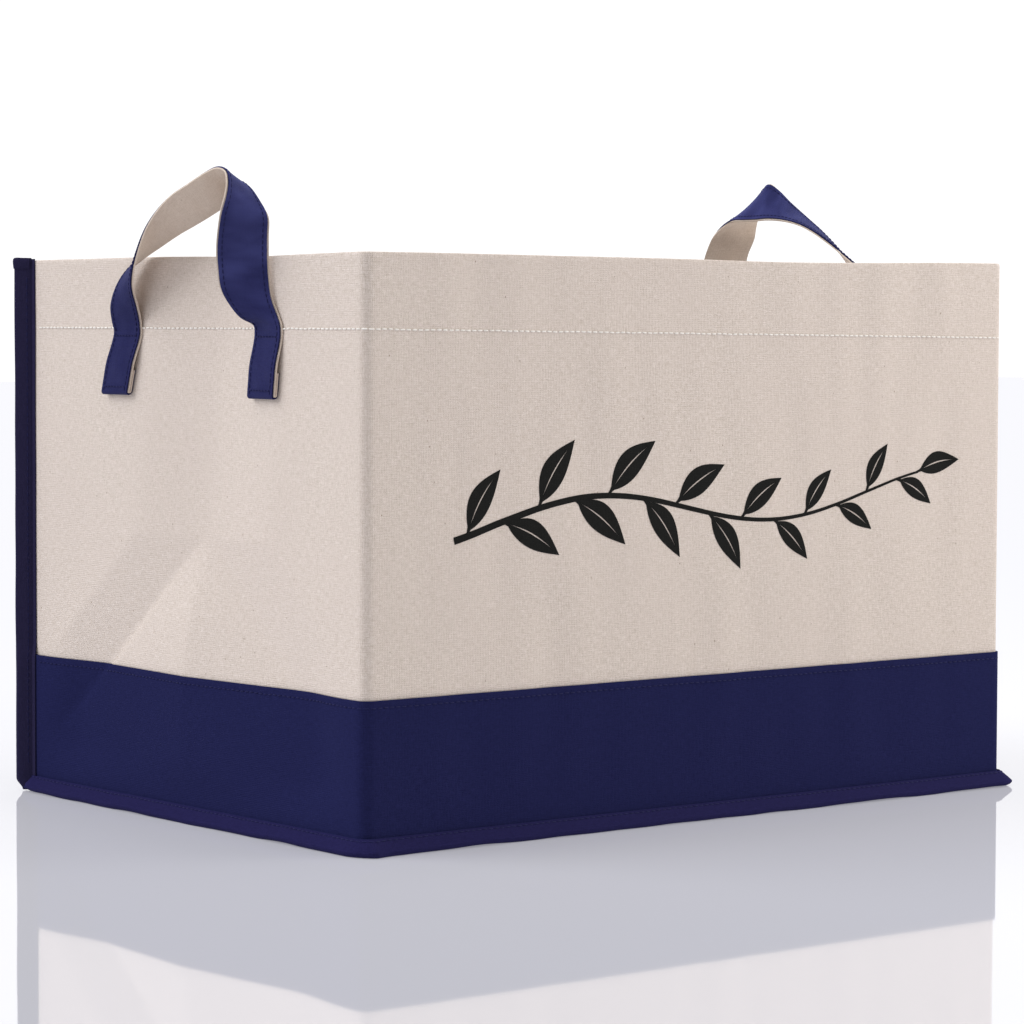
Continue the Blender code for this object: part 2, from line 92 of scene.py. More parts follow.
# Tapes: where they start along a fin, and how blunt the base tape's fold is. The corner tape narrows
# over its rise above the band, stops at its foot, curls in there, and flares onto the end wall. Its end
# caps the rim in rings, each with its rise above the rim, growth, and width against the tape's.
TAPE_START = 0.0012
BLUNTNESS = 0.55
TAPE_RISE = 0.0045
TAPE_FOOT = 0.0008
TAPE_CURL = 0.0035
TAPE_END = ((-0.0045, 0.00045, 1.0), (-0.0025, 0.00070, 1.0), (-0.0005, 0.00085, 1.0),
            (0.0006, 0.0006, 1.0), (0.0011, 0.0001, 1.0), (0.0013, -0.0012, 0.35))
FLARE = 0.0036
FLARE_LIFT = 0.0002

# Middle surface of the walls, and places measured from it
WALL_X = BIN_WIDTH / 2 - CANVAS / 2
WALL_Y = BIN_DEPTH / 2 - CANVAS / 2
BAND_U = PLY_PITCH
CANVAS_FOOT = BAND_TOP - BAND_LAP
FIN_OFFSET = PLY_PITCH / 2
DIAGONAL = math.sqrt(0.5)

# Edges of each strap's free loop, as rulings across the strap in millimetres: (outward, back, up)
# on the edge near the wall at the top of the loop, then on its outer edge. The right loop is listed
# as it looks when the bin is turned half round; it is set wider and folds over at its top.
LEFT_LOOP = (
    ((1.65, -83.3, 249.2), (1.65, -59.3, 249.2)),
    ((1.9, -83.0, 252.5), (3.2, -59.6, 252.3)),
    ((1.8, -80.6, 257.0), (10.6, -58.4, 256.6)),
    ((1.8, -75.8, 266.0), (17.2, -57.2, 268.0)),
    ((1.8, -73.4, 280.0), (19.2, -56.8, 280.0)),
    ((1.8, -73.2, 294.0), (20.2, -57.8, 291.0)),
    ((1.2, -72.6, 304.5), (21.0, -62.0, 304.5)),
    ((0.0, -63.8, 312.6), (21.5, -67.8, 314.0)),
    ((-1.0, -54.5, 319.0), (20.5, -68.0, 321.5)),
    ((-1.0, -47.0, 321.5), (18.8, -63.0, 327.0)),
    ((-0.5, -40.0, 318.0), (19.2, -55.0, 328.4)),
    ((0.0, -32.5, 311.5), (20.5, -45.5, 325.4)),
    ((0.0, -21.0, 307.2), (21.5, -33.0, 320.6)),
    ((0.0, -7.5, 303.0), (22.0, -18.5, 315.2)),
    ((0.2, 8.0, 298.3), (22.0, -5.5, 308.0)),
    ((0.8, 23.5, 292.5), (21.5, 6.0, 299.0)),
    ((2.4, 38.0, 286.2), (19.5, 17.0, 288.0)),
    ((5.2, 49.0, 279.0), (16.5, 26.0, 278.5)),
    ((7.0, 55.5, 271.0), (13.0, 32.0, 270.0)),
    ((6.6, 61.4, 262.0), (7.0, 37.6, 261.5)),
    ((3.8, 65.2, 254.5), (3.0, 41.2, 254.5)),
    ((1.65, 66.2, 249.2), (1.65, 42.2, 249.2)),
)
RIGHT_LOOP = (
    ((1.65, -90.3, 249.2), (1.65, -66.3, 249.2)),
    ((1.9, -90.6, 252.5), (3.2, -66.8, 252.3)),
    ((1.8, -92.2, 260.0), (9.5, -69.6, 259.6)),
    ((1.8, -94.2, 270.0), (16.0, -74.8, 270.0)),
    ((1.8, -95.4, 281.0), (18.4, -78.0, 280.5)),
    ((1.8, -95.0, 290.2), (18.8, -78.0, 290.2)),
    ((1.8, -92.9, 296.2), (19.0, -76.2, 296.2)),
    ((1.5, -87.7, 304.5), (20.5, -73.0, 304.6)),
    ((1.0, -81.8, 309.7), (22.4, -73.6, 312.8)),
    ((0.5, -74.2, 313.6), (21.4, -69.2, 323.0)),
    ((0.0, -68.0, 315.1), (17.4, -61.8, 330.5)),
    ((-0.5, -59.9, 315.0), (12.4, -53.4, 334.8)),
    ((-1.0, -48.9, 315.0), (11.2, -47.8, 335.4)),
    ((-1.0, -36.7, 315.4), (14.5, -43.6, 331.6)),
    ((0.0, -24.1, 314.4), (17.1, -37.0, 324.9)),
    ((1.0, -11.5, 311.6), (19.4, -25.9, 316.3)),
    ((2.5, -0.4, 306.7), (21.3, -15.1, 308.2)),
    ((4.5, 11.8, 299.3), (22.4, -3.6, 298.8)),
    ((5.6, 23.5, 291.7), (22.0, 6.2, 290.4)),
    ((6.4, 36.0, 283.6), (19.6, 16.4, 281.0)),
    ((7.2, 48.0, 274.5), (15.4, 26.0, 272.0)),
    ((6.6, 58.0, 265.0), (10.0, 34.2, 263.5)),
    ((3.6, 64.8, 255.2), (3.6, 40.8, 254.8)),
    ((1.65, 66.2, 249.2), (1.65, 42.2, 249.2)),
)

# Sewn-down ends: place back at the top and lean, how much wider the right loop is set at the front, and
# where a strap stops following the wall's folds
TAB_FRONT = (-0.0713, 0.12)
TAB_BACK = (0.0542, 0.28)
WIDER_SET = 0.007
FOLLOW_TOP = 0.2495
FOLLOW_FADE = 0.02

# Fineness of the meshes
GRID = 0.0022
ARC_STEPS = 6
FIN_STEPS = 4
STRAP_STEPS = 6
STRAP_COLUMNS = 9
TURN_STEPS = 8

# Folds of the end panels: a crease down the middle from the rim to an apex, and two that spread
# from the apex to the foot, with a ridge between them. Depths are inward.
APEX_Z = 0.1476
APEX_Y = -0.011
CREASE_HEIGHTS = (0.0, 0.076, APEX_Z, 0.285)
CREASE_BACKS = (0.0, 0.002, APEX_Y, -0.028)
SPREAD_BACK = 1.215
SPREAD_FRONT = 1.131
CREASE_DEPTH = 0.0055
CREASE_REACH = 0.055
CREASE_ROUND = 0.0016
CREASE_WIDENED = 1.25
CREASE_SOFT = 0.55
RIDGE_RISE = 0.0040
RIDGE_RUN = 0.05
REFILL = 0.6
REFILL_RUN = 0.07
APEX_BLEND = 0.006
WALL_WAVE = 0.0007
WALL_CYCLES = 11.0
RIM_WAVE = 0.0007
RIM_CYCLES = 9
RIM_WAVE_FOOT = 0.252
RIM_WAVE_RUN = 0.03
STILL_CORNER = 0.045
STILL_FOOT = 0.022

# Dog-ears of the base seam: corner (left or right, front or back), and how far its tip is pulled
# across, back and up, in metres. The back ones tuck in under the corner tapes.
EAR_WIDTH = 0.0075
EARS = ((-1, -1, 0.0052, -0.0062, 0.0), (1, -1, 0.0015, -0.0020, 0.0), (-1, 1, 0.0042, -0.0030, 0.0030),
        (1, 1, -0.0042, -0.0030, 0.0030))

# Textures: sizes across and along the cloth, the ranges of noise used, and shares, in metres
WARP_SLUB = (0.0007, 0.0035)
WEFT_SLUB = (0.0040, 0.0007)
GRAIN = (0.0006, 0.0006)
SLUB_SHARE = 0.62
GRAIN_SHARE = 0.76
SLUB_RANGE = (0.68, 1.32)
TONE_PATCH = (1 / 14, 1 / 11)
TONE_RANGE = (0.3, 0.7)
TONE_SHARE = 0.4
FLECKS = (0.20, 0.125, 0.075)
FLECK_CELL = (1 / 170, 1 / 125)
FLECK_EDGE = (0.075, 0.035)
FLECK_CHOICE = (0.42, 0.70)
FLECK_SHARE = 0.75
# Painted sheen on the straps: size of its patches, and the middle and reach along a strap of its paler
# painted band
PAINTED_SHEEN_PATCH = (0.030, 0.014)
PAINTED_SHEEN_MIDDLE = 0.118
PAINTED_SHEEN_REACH = 0.085
RUMPLE = (0.022, 0.018)
YARN_RELIEF = 0.0003

# Stitches
STITCH_LENGTH = 0.0029
STITCH_PITCH = 0.0036
STITCH_RADIUS = 0.00044
FINE_RADIUS = 0.00030
HEM_STITCH_LENGTH = 0.0032
STRAP_STITCH = 0.0023
STRAP_STITCH_PITCH = 0.0029
HEM_TILT = 0.0020
HEM_WANDER = 0.00025

# Print on the front: a leafy sprig
PRINT_LEFT = -0.163
PRINT_RIGHT = 0.150
PRINT_HEIGHT = 0.160
PRINT_WAVE = 0.010
PRINT_CLIMB = 0.012
PRINT_LIFT = 0.00012
PRINT_INK = 0.0001
LEAF_PAIRS = 7
LEAF_LENGTH = 0.041
LEAF_HALF_WIDTH = 0.0072
LEAF_ANGLE = 42.0
MIDRIB = 0.00035

# Studio: suns with their name, the direction they come from, strength, spread in degrees and colour;
# a lamp at the side; the dome's own light and its brightness where it is seen; the floor; the camera
SUNS = (
    ("key", (-0.62, 0.52, 0.58), 2.50, 50.0, (0.95, 0.97, 1.0)),
    ("fill", (0.30, -0.78, 0.55), 0.10, 80.0, (1.0, 0.99, 0.97)),
    ("top", (0.12, -0.20, 0.95), 1.2, 60.0, (1.0, 0.99, 0.96)),
)
SIDE_PLACE = (0.95, -0.80, 0.70)
SIDE_AIM = (0.20, -0.15, 0.15)
SIDE_SIZE = 0.8
SIDE_POWER = 7.6
SIDE_COLOUR = (1.0, 0.98, 0.94)
AMBIENT = 0.42
BACKDROP = 1.10
FLOOR_REACH = 12.0
FLOOR_MATT = (0.34, 0.34, 0.36)
FLOOR_LIT = (0.43, 0.43, 0.475)
FLOOR_GLOSS = 0.40
CAMERA_PLACE = (-1.1931, -1.4852, 0.2515)
CAMERA_YAW = 38.63
CAMERA_PITCH = 3.03
CAMERA_ROLL = 0.18
CAMERA_LENS = 123.4


# --- materials ---

def new_material(name):
    """A material, its node tree and its main shader."""
    material = bpy.data.materials.new(name)
    material.use_nodes = True
    return material, material.node_tree, material.node_tree.nodes["Principled BSDF"]


def feed(tree, node, inputs):
    """Give each named input a number, a vector, a colour or another node's output."""
    for key, value in inputs.items():
        socket = node.inputs[key]
        if isinstance(value, bpy.types.NodeSocket):
            tree.links.new(value, socket)
        else:
            socket.default_value = (*value, 1.0) if socket.type == "RGBA" else value


def add_node(tree, kind, inputs, **settings):
    """New node with its settings and inputs."""
    node = tree.nodes.new(kind)
    for key, value in settings.items():
        setattr(node, key, value)
    feed(tree, node, inputs)
    return node


def cloth_coordinates(tree, size=(1.0, 1.0), turn=0.0):
    """Place across and along the cloth, counted in features of the given size in metres."""
    source = add_node(tree, "ShaderNodeUVMap", {}, uv_map="cloth")
    scale = (1 / size[0], 1 / size[1], 1.0)
    inputs = {"Vector": source.outputs["UV"], "Scale": scale, "Rotation": (0.0, 0.0, turn)}
    return add_node(tree, "ShaderNodeMapping", inputs).outputs["Vector"]


def noise_value(tree, size, detail=2.0, turn=0.0):
    """Noise whose features have the given size across and along the cloth, in metres."""
    inputs = {"Vector": cloth_coordinates(tree, size, turn), "Scale": 1.0, "Detail": detail}
    return add_node(tree, "ShaderNodeTexNoise", inputs).outputs["Fac"]


def wave_value(tree, direction, pitch):
    """One yarn every pitch metres in the given direction of the cloth."""
    inputs = {"Vector": cloth_coordinates(tree), "Scale": math.pi / 10 / pitch, "Distortion": 0.0}
    return add_node(tree, "ShaderNodeTexWave", inputs, bands_direction=direction).outputs["Fac"]


def math_node(tree, operation, a, b):
    """Result of an operation on two values."""
    return add_node(tree, "ShaderNodeMath", {0: a, 1: b}, operation=operation).outputs[0]


def ramp(tree, value, low, high):
    """Value rescaled so that low gives 0 and high gives 1."""
    inputs = {"Value": value, "From Min": low, "From Max": high}
    return add_node(tree, "ShaderNodeMapRange", inputs).outputs["Result"]


def mix_colour(tree, share, a, b):
    """Colour a where share is 0, and b where it is 1."""
    return add_node(tree, "ShaderNodeMix", {0: share, 6: a, 7: b}, data_type="RGBA").outputs[2]


def bump(tree, height, distance, strength=1.0, under=None):
    """Normal of a relief distance metres high, on top of another relief's if that is given."""
    inputs = {"Height": height, "Distance": distance, "Strength": strength}
    if under is not None:
        inputs["Normal"] = under
    return add_node(tree, "ShaderNodeBump", inputs).outputs["Normal"]


def woven(name, base, dark, light, pitch, sheen, sheen_tint, relief, roughness=0.9, shine=0.15, flecks=None,
          painted_sheen=None, rumple=0.0):
    """Plain woven cloth: yarns both ways, uneven slubs and broad tone changes.

    Natural cloth has flecks. A strap has a painted sheen, paler in patches in the middle of its length,
    and is rumpled by the given depth in metres.
    """
    material, tree, shader = new_material(name)
    yarns = math_node(tree, "ADD", noise_value(tree, WARP_SLUB), noise_value(tree, WEFT_SLUB))
    grain = noise_value(tree, GRAIN, detail=1.0)
    slubs = math_node(tree, "ADD", math_node(tree, "MULTIPLY", yarns, SLUB_SHARE),
                      math_node(tree, "MULTIPLY", grain, GRAIN_SHARE))
    colour = mix_colour(tree, ramp(tree, slubs, *SLUB_RANGE), dark, light)
    tone = ramp(tree, noise_value(tree, TONE_PATCH, detail=3.0), *TONE_RANGE)
    colour = mix_colour(tree, math_node(tree, "MULTIPLY", tone, TONE_SHARE), colour, base)
    # Painted sheen: the strap's free loop, in the middle of its length, is painted paler in patches
    if painted_sheen:
        place = add_node(tree, "ShaderNodeSeparateXYZ", {0: cloth_coordinates(tree)})
        beyond = math_node(tree, "SUBTRACT", place.outputs["Y"], PAINTED_SHEEN_MIDDLE)
        far = math_node(tree, "MAXIMUM", beyond, math_node(tree, "MULTIPLY", beyond, -1.0))
        painted_sheen_share = math_node(tree, "MULTIPLY", ramp(tree, far, PAINTED_SHEEN_REACH, PAINTED_SHEEN_REACH * 0.4),
                         ramp(tree, noise_value(tree, PAINTED_SHEEN_PATCH), 0.25, 0.65))
        colour = mix_colour(tree, painted_sheen_share, colour, painted_sheen)
    if flecks:
        cells = cloth_coordinates(tree, FLECK_CELL, turn=0.4)
        spots = add_node(tree, "ShaderNodeTexVoronoi", {"Vector": cells, "Scale": 1.0})
        near = ramp(tree, spots.outputs["Distance"], *FLECK_EDGE)
        chosen = ramp(tree, spots.outputs["Color"], *FLECK_CHOICE)
        strength = math_node(tree, "MULTIPLY", near, math_node(tree, "MULTIPLY", chosen, FLECK_SHARE))
        colour = mix_colour(tree, strength, colour, flecks)
    grid = math_node(tree, "MAXIMUM", wave_value(tree, "X", pitch), wave_value(tree, "Y", pitch))
    height = math_node(tree, "ADD", grid, math_node(tree, "MULTIPLY", slubs, 1.3))
    soft = bump(tree, noise_value(tree, RUMPLE, detail=1.0), rumple) if rumple else None
    normal = bump(tree, height, YARN_RELIEF, relief, soft)
    feed(tree, shader, {"Base Color": colour, "Roughness": roughness, "Specular IOR Level": shine,
                        "Sheen Weight": sheen, "Sheen Roughness": 0.4, "Sheen Tint": sheen_tint,
                        "Normal": normal})
    return material


def thread_material(name, dark, light, sheen):
    """Twisted sewing thread: fine light and dark plies."""
    material, tree, shader = new_material(name)
    ply = ramp(tree, noise_value(tree, GRAIN, turn=0.5), 0.3, 0.7)
    feed(tree, shader, {"Base Color": mix_colour(tree, ply, dark, light), "Roughness": 0.6,
                        "Sheen Weight": sheen, "Specular IOR Level": 0.1})
    return material


def fibreboard_material():
    """Pressed brown fibreboard with long fine fibres."""
    material, tree, shader = new_material("fibreboard")
    place = add_node(tree, "ShaderNodeTexCoord", {}).outputs["Object"]
    inputs = {"Vector": place, "Scale": (260.0, 900.0, 900.0)}
    stretched = add_node(tree, "ShaderNodeMapping", inputs).outputs["Vector"]
    inputs = {"Vector": stretched, "Scale": 1.0, "Detail": 4.0}
    fibres = add_node(tree, "ShaderNodeTexNoise", inputs).outputs["Fac"]
    feed(tree, shader, {"Base Color": mix_colour(tree, fibres, (0.16, 0.095, 0.05), (0.42, 0.29, 0.18)),
                        "Roughness": 0.7, "Normal": bump(tree, fibres, 0.0002)})
    return material


NATURAL = woven("natural_canvas", (0.634, 0.546, 0.494), (0.500, 0.420, 0.353), (0.764, 0.680, 0.632),
                pitch=0.0010, sheen=0.10, sheen_tint=(0.95, 0.95, 1.0), relief=0.5, flecks=FLECKS)
LINING = woven("natural_lining", (0.615, 0.515, 0.435), (0.520, 0.420, 0.340), (0.705, 0.610, 0.530),
               pitch=0.0008, sheen=0.10, sheen_tint=(0.95, 0.95, 1.0), relief=0.30, flecks=FLECKS,
               rumple=0.0030)
NAVY = woven("navy_canvas", (0.0128, 0.0142, 0.0590), (0.0095, 0.0106, 0.0450), (0.0178, 0.0196, 0.0780),
             pitch=0.0009, sheen=0.015, sheen_tint=(0.30, 0.35, 0.85), relief=0.40, shine=0.03)
NAVY_TAPE = woven("navy_tape", (0.0190, 0.0165, 0.0460), (0.0145, 0.0125, 0.0360), (0.0260, 0.0225, 0.0620),
                  pitch=0.0006, sheen=0.01, sheen_tint=(0.30, 0.30, 0.70), relief=0.30, shine=0.05)
# The strap's paler colour in the middle of its length is a painted sheen
NAVY_STRAP = woven("navy_strap", (0.0145, 0.0152, 0.0670), (0.0108, 0.0114, 0.0510), (0.0195, 0.0205, 0.0870),
                   pitch=0.0007, sheen=0.10, sheen_tint=(0.32, 0.38, 1.0), relief=0.35, roughness=0.65,
                   shine=0.06, painted_sheen=(0.0420, 0.0460, 0.1550), rumple=0.0030)
BASE_TAPE = woven("base_tape", (0.0148, 0.0132, 0.0590), (0.0110, 0.0098, 0.0450), (0.0200, 0.0178, 0.0770),
                  pitch=0.0006, sheen=0.01, sheen_tint=(0.35, 0.30, 0.80), relief=0.30, shine=0.05)
INK = woven("print_ink", (0.0100, 0.0100, 0.0095), (0.0075, 0.0075, 0.0072), (0.0150, 0.0150, 0.0140),
            pitch=0.0010, sheen=0.0, sheen_tint=(1.0, 1.0, 1.0), relief=0.45, roughness=0.8, shine=0.05)
CREAM_THREAD = thread_material("cream_thread", (0.74, 0.69, 0.63), (0.93, 0.90, 0.86), 0.2)
NAVY_THREAD = thread_material("navy_thread", (0.0115, 0.0120, 0.051), (0.0165, 0.0175, 0.073), 0.0)
FIBREBOARD = fibreboard_material()


# --- mesh helpers ---

def add_object(name, data):
    """Object in the scene with the given data."""
    item = bpy.data.objects.new(name, data)
    bpy.context.scene.collection.objects.link(item)
    return item


def put(name, mesh, material, body, replaced=(), thickness=0.0, sharp=40.0, even=True):
    """Make the object, thicken it, ride it on its body and hide the parts it replaces.

    A piece whose body is None is left free.
    """
    mesh.materials.append(material)
    item = add_object(name, mesh)
    if thickness:
        shell = item.modifiers.new("ply", "SOLIDIFY")
        shell.thickness = thickness
        shell.offset = 0.0
        shell.use_even_offset = even
        bpy.context.view_layer.update()
        evaluated = item.evaluated_get(bpy.context.evaluated_depsgraph_get())
        final = bpy.data.meshes.new_from_object(evaluated)
        final.name = name
        item.modifiers.clear()
        item.data = final
    item.data.shade_smooth()
    item.data.set_sharp_from_angle(angle=math.radians(sharp))
    if body:
        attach(item, body)
    if replaced:
        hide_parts(*replaced)
    return item


def mesh_of(name, verts, faces, uv):
    """Mesh with the place on the cloth, in metres, of each corner of each face."""
    mesh = bpy.data.meshes.new(name)
    mesh.from_pydata(verts, [], faces)
    layer = mesh.uv_layers.new(name="cloth")
    layer.data.foreach_set("uv", np.asarray(uv, np.float32).ravel())
    mesh.update()
    return mesh


def grid_mesh(name, rows, uv, closed=False, cap=False):
    """Mesh through an array of rows of points, where not-a-number marks a missing point."""
    rows = np.asarray(rows, float)
    uv = np.asarray(uv, float)
    count, columns = rows.shape[:2]
    present = ~np.isnan(rows[:, :, 0])
    index = np.full((count, columns), -1)
    index[present] = np.arange(int(present.sum()))
    faces = []
    marks = []
    for r in range(count - 1):
        for c in range(columns if closed else columns - 1):
            d = (c + 1) % columns
            corners = (index[r, c], index[r + 1, c], index[r + 1, d], index[r, d])
            if min(corners) < 0:
                continue
            faces.append(corners)
            marks += [uv[r, c], uv[r + 1, c], uv[r + 1, c + 1], uv[r, c + 1]]
    if cap:
        faces.append(tuple(index[-1]))
        marks += [uv[-1, c] for c in range(columns)]
    return mesh_of(name, rows[present].tolist(), faces, marks)


def lengths(points):
    """Distance of each point along a line, from its start."""
    steps = np.linalg.norm(np.diff(np.asarray(points, float), axis=0), axis=1)
    return np.concatenate([[0.0], np.cumsum(steps)])


def girth(ring):
    """Distance round a closed ring of points, back to its start."""
    return lengths(np.concatenate([ring, ring[:1]]))


def uv_grid(across, up):
    """Places on the cloth of rows at up and columns at across."""
    return np.stack(np.broadcast_arrays(across[None, :], up[:, None]), axis=2)


def smoothstep(value):
    """Value kept between 0 and 1, with a smooth start and end."""
    value = np.clip(value, 0.0, 1.0)
    return value * value * (3 - 2 * value)


def resample(points, pitch):
    """Points every pitch metres along a line."""
    points = np.asarray(points, float)
    along = lengths(points)
    count = max(1, round(along[-1] / pitch))
    targets = np.linspace(0.0, along[-1], count + 1)
    return np.stack([np.interp(targets, along, points[:, k]) for k in range(3)], axis=1)


def stitches(name, lines, material, body="bin", replaced=(), length=STITCH_LENGTH,
             pitch=STITCH_PITCH, radius=STITCH_RADIUS):
    """Rows of separate stitches, each a small bead that dips into the cloth at both ends."""
    rings = 4
    sides = 6
    verts = []
    faces = []
    for line in lines:
        knots = resample(line, pitch)
        for start, end in zip(knots, knots[1:]):
            along = end - start
            size = float(np.linalg.norm(along))
            along = along / size
            reach = along * length / 2
            middle = (start + end) / 2
            side = np.cross(along, (0.37, 0.53, 0.76))
            side /= np.linalg.norm(side)
            other = np.cross(along, side)
            base = len(verts)
            verts.append(middle - reach)
            for ring in range(1, rings):
                turn = math.pi * ring / rings
                centre = middle - reach * math.cos(turn)
                swell = radius * math.sin(turn) ** 0.6
                for k in range(sides):
                    angle = 2 * math.pi * k / sides
                    verts.append(centre + swell * (math.cos(angle) * side + math.sin(angle) * other))
            verts.append(middle + reach)
            last = len(verts) - 1
            for k in range(sides):
                after = (k + 1) % sides
                faces.append((base, base + 1 + after, base + 1 + k))
                for ring in range(rings - 2):
                    a = base + 1 + ring * sides
                    faces.append((a + k, a + after, a + sides + after, a + sides + k))
                a = base + 1 + (rings - 2) * sides
                faces.append((a + k, a + after, last))
    uv = [(verts[k][0] + verts[k][1], verts[k][2]) for face in faces for k in face]
    mesh = mesh_of(name, [tuple(v) for v in verts], faces, uv)
    return put(name, mesh, material, body, replaced, sharp=80.0)


# --- plan of the walls: column points and outward directions, so that point = place + out * u ---

def corner_columns(x, y, start):
    """Columns round one upright corner, angles in degrees."""
    turns = np.radians(start + 90.0 * np.arange(1, ARC_STEPS) / ARC_STEPS)
    out = np.stack([np.cos(turns), np.sin(turns)], axis=1)
    centre = np.array([math.copysign(WALL_X - CORNER_RADIUS, x), math.copysign(WALL_Y - CORNER_RADIUS, y)])
    return centre + CORNER_RADIUS * out, out


def straight_columns(start, end, out):
    """Columns along a straight wall from start to end."""
    count = max(1, round(math.dist(start, end) / GRID))
    share = np.linspace(0.0, 1.0, count + 1)[:, None]
    place = np.asarray(start) * (1 - share) + np.asarray(end) * share
    return place, np.tile(np.asarray(out, float), (count + 1, 1))


def wrap_columns(back_end):
    """Columns of the front and both ends, from the left back corner round to the right one."""
    inner_x = WALL_X - CORNER_RADIUS
    inner_y = WALL_Y - CORNER_RADIUS
    parts = [
        straight_columns((-WALL_X, back_end), (-WALL_X, -inner_y), (-1, 0)),
        corner_columns(-1, -1, 180),
        straight_columns((-inner_x, -WALL_Y), (inner_x, -WALL_Y), (0, -1)),
        corner_columns(1, -1, 270),
        straight_columns((WALL_X, -inner_y), (WALL_X, back_end), (1, 0)),
    ]
    return np.concatenate([p[0] for p in parts]), np.concatenate([p[1] for p in parts])


def back_columns(inset):
    """Columns of the back, stopping inset short of the walls' corners."""
    x = WALL_X - inset
    return straight_columns((-x, WALL_Y), (x, WALL_Y), (0, 1))


def soft_noise(a, b, scale, seed):
    """Smooth noise from -1 to 1 over arrays of two coordinates."""
    flat = [noise.noise(Vector((x * scale, y * scale, seed))) for x, y in zip(a.ravel(), b.ravel())]
    return np.array(flat).reshape(a.shape) * 1.6


def end_folds(y, z):
    """How far an end panel stands out (+) or in (-) because of its creases."""
    centre = np.interp(z, CREASE_HEIGHTS, CREASE_BACKS)
    away = np.sqrt((y - centre) ** 2 + CREASE_ROUND ** 2) - CREASE_ROUND
    soft = 1 - smoothstep(away / CREASE_REACH / CREASE_WIDENED)
    straight = 1 - np.clip(away / CREASE_REACH, 0, 1)
    upper = -CREASE_DEPTH * (CREASE_SOFT * soft + (1 - CREASE_SOFT) * straight)
    drop = np.clip(APEX_Z - z, 0.0, None)
    spread = drop * np.where(y > centre, SPREAD_BACK, SPREAD_FRONT) + 1e-4
    beyond = np.abs(y - APEX_Y) - spread
    rounded = np.sqrt(beyond ** 2 + CREASE_ROUND ** 2) - CREASE_ROUND
    outside = -CREASE_DEPTH * (1 - np.clip(rounded / CREASE_REACH, 0, 1))
    rise = RIDGE_RISE * smoothstep(drop / RIDGE_RUN)
    refill = CREASE_DEPTH * REFILL * smoothstep(drop / REFILL_RUN)
    inside = -CREASE_DEPTH + (rise + refill) * (1 - np.clip(away / np.maximum(spread, 1e-3), 0, 1))
    lower = np.where(beyond > 0, outside, inside)
    blend = smoothstep(drop / APEX_BLEND)
    return upper * (1 - blend) + lower * blend


def wall_push(place, out, z):
    """Outward shift of the walls at each row's heights and each column, from folds and gentle waves."""
    rows = np.broadcast_to(np.asarray(z, float), (np.shape(z)[0], len(place)))
    x = np.broadcast_to(place[:, 0], rows.shape)
    y = np.broadcast_to(place[:, 1], rows.shape)
    on_end = np.abs(out[:, 0]) > 0.999
    along = np.where(on_end, y, x)
    reach = np.where(on_end, WALL_Y - np.abs(y), WALL_X - np.abs(x)) - CORNER_RADIUS
    waves = WALL_WAVE * soft_noise(along + 3.0 * place[:, 0], rows, WALL_CYCLES, 4.0)
    flat = (np.abs(out).max(axis=1) > 0.999) * 1.0
    shift = waves + on_end * end_folds(y, rows)
    low = smoothstep((rows - CORNER_FIN_FOOT) / STILL_FOOT)
    return shift * flat * smoothstep(reach / STILL_CORNER) * low


def push_at(place, out, z):
    """Outward shift of the walls at one point."""
    return float(wall_push(np.array([place]), np.array([out], float), np.array([[z]]))[0, 0])


def wall_points(columns, u, z):
    """Points u outside the walls' middle surface at the heights z, on the folded and waved wall."""
    place, out = columns
    shape = (max(np.shape(u)[0], np.shape(z)[0]), len(place))
    u = np.broadcast_to(u, shape)
    z = np.broadcast_to(z, shape)
    offset = (u + wall_push(place, out, z))[:, :, None]
    flat = place[None] + out[None] * offset
    across, back = (np.broadcast_to(place[:, k] * RIM_CYCLES, shape) for k in (0, 1))
    wave = RIM_WAVE * soft_noise(across, back, 1.0, 9.0)
    top = z + wave * smoothstep((z - RIM_WAVE_FOOT) / RIM_WAVE_RUN)
    return np.concatenate([flat, top[:, :, None]], axis=2)


def column(values):
    """Values as one column, for broadcasting against the columns of a wall."""
    return np.asarray(values, float)[:, None]


def wrap_wall_end(u):
    """Where a ply on the end wall turns out into the corner fin, or where its hem stops inside."""
    if u < 0:
        return WALL_Y - FIN_OFFSET * math.sqrt(2) + u
    return WALL_Y + u - math.sqrt(2) * (FIN_OFFSET + u)


def fin_point(s, p, side):
    """Plan point at s along the back corner's diagonal and p across it, towards the end wall."""
    return (side * (WALL_X + (s + p) * DIAGONAL), WALL_Y + (s - p) * DIAGONAL)


def with_fins(points, p, heights, fin_rows):
    """Wall rows with the corner fin's columns added at both ends on the first fin_rows rows."""
    rows = []
    for r, row in enumerate(points):
        left, right = [], []
        for k in range(FIN_STEPS, 0, -1):
            for side, made in ((-1, left), (1, right)):
                if r < fin_rows:
                    edge = row[0] if side < 0 else row[-1]
                    tip = np.array([*fin_point(CORNER_FIN, p, side), heights[r]])
                    share = k / FIN_STEPS
                    made.append(edge * (1 - share) + tip * share)
                else:
                    made.append(np.full(3, np.nan))
        rows.append(np.concatenate([np.array(left), row, np.array(right)[::-1]]))
    return np.array(rows)


# --- pieces ---

def wall_pair(u):
    """The wrap's and the back's word, columns and side of the corner fins, for a ply at u."""
    end = wrap_wall_end(u)
    return (("wrap", wrap_columns(end), 1), ("back", back_columns(WALL_Y - end), -1))


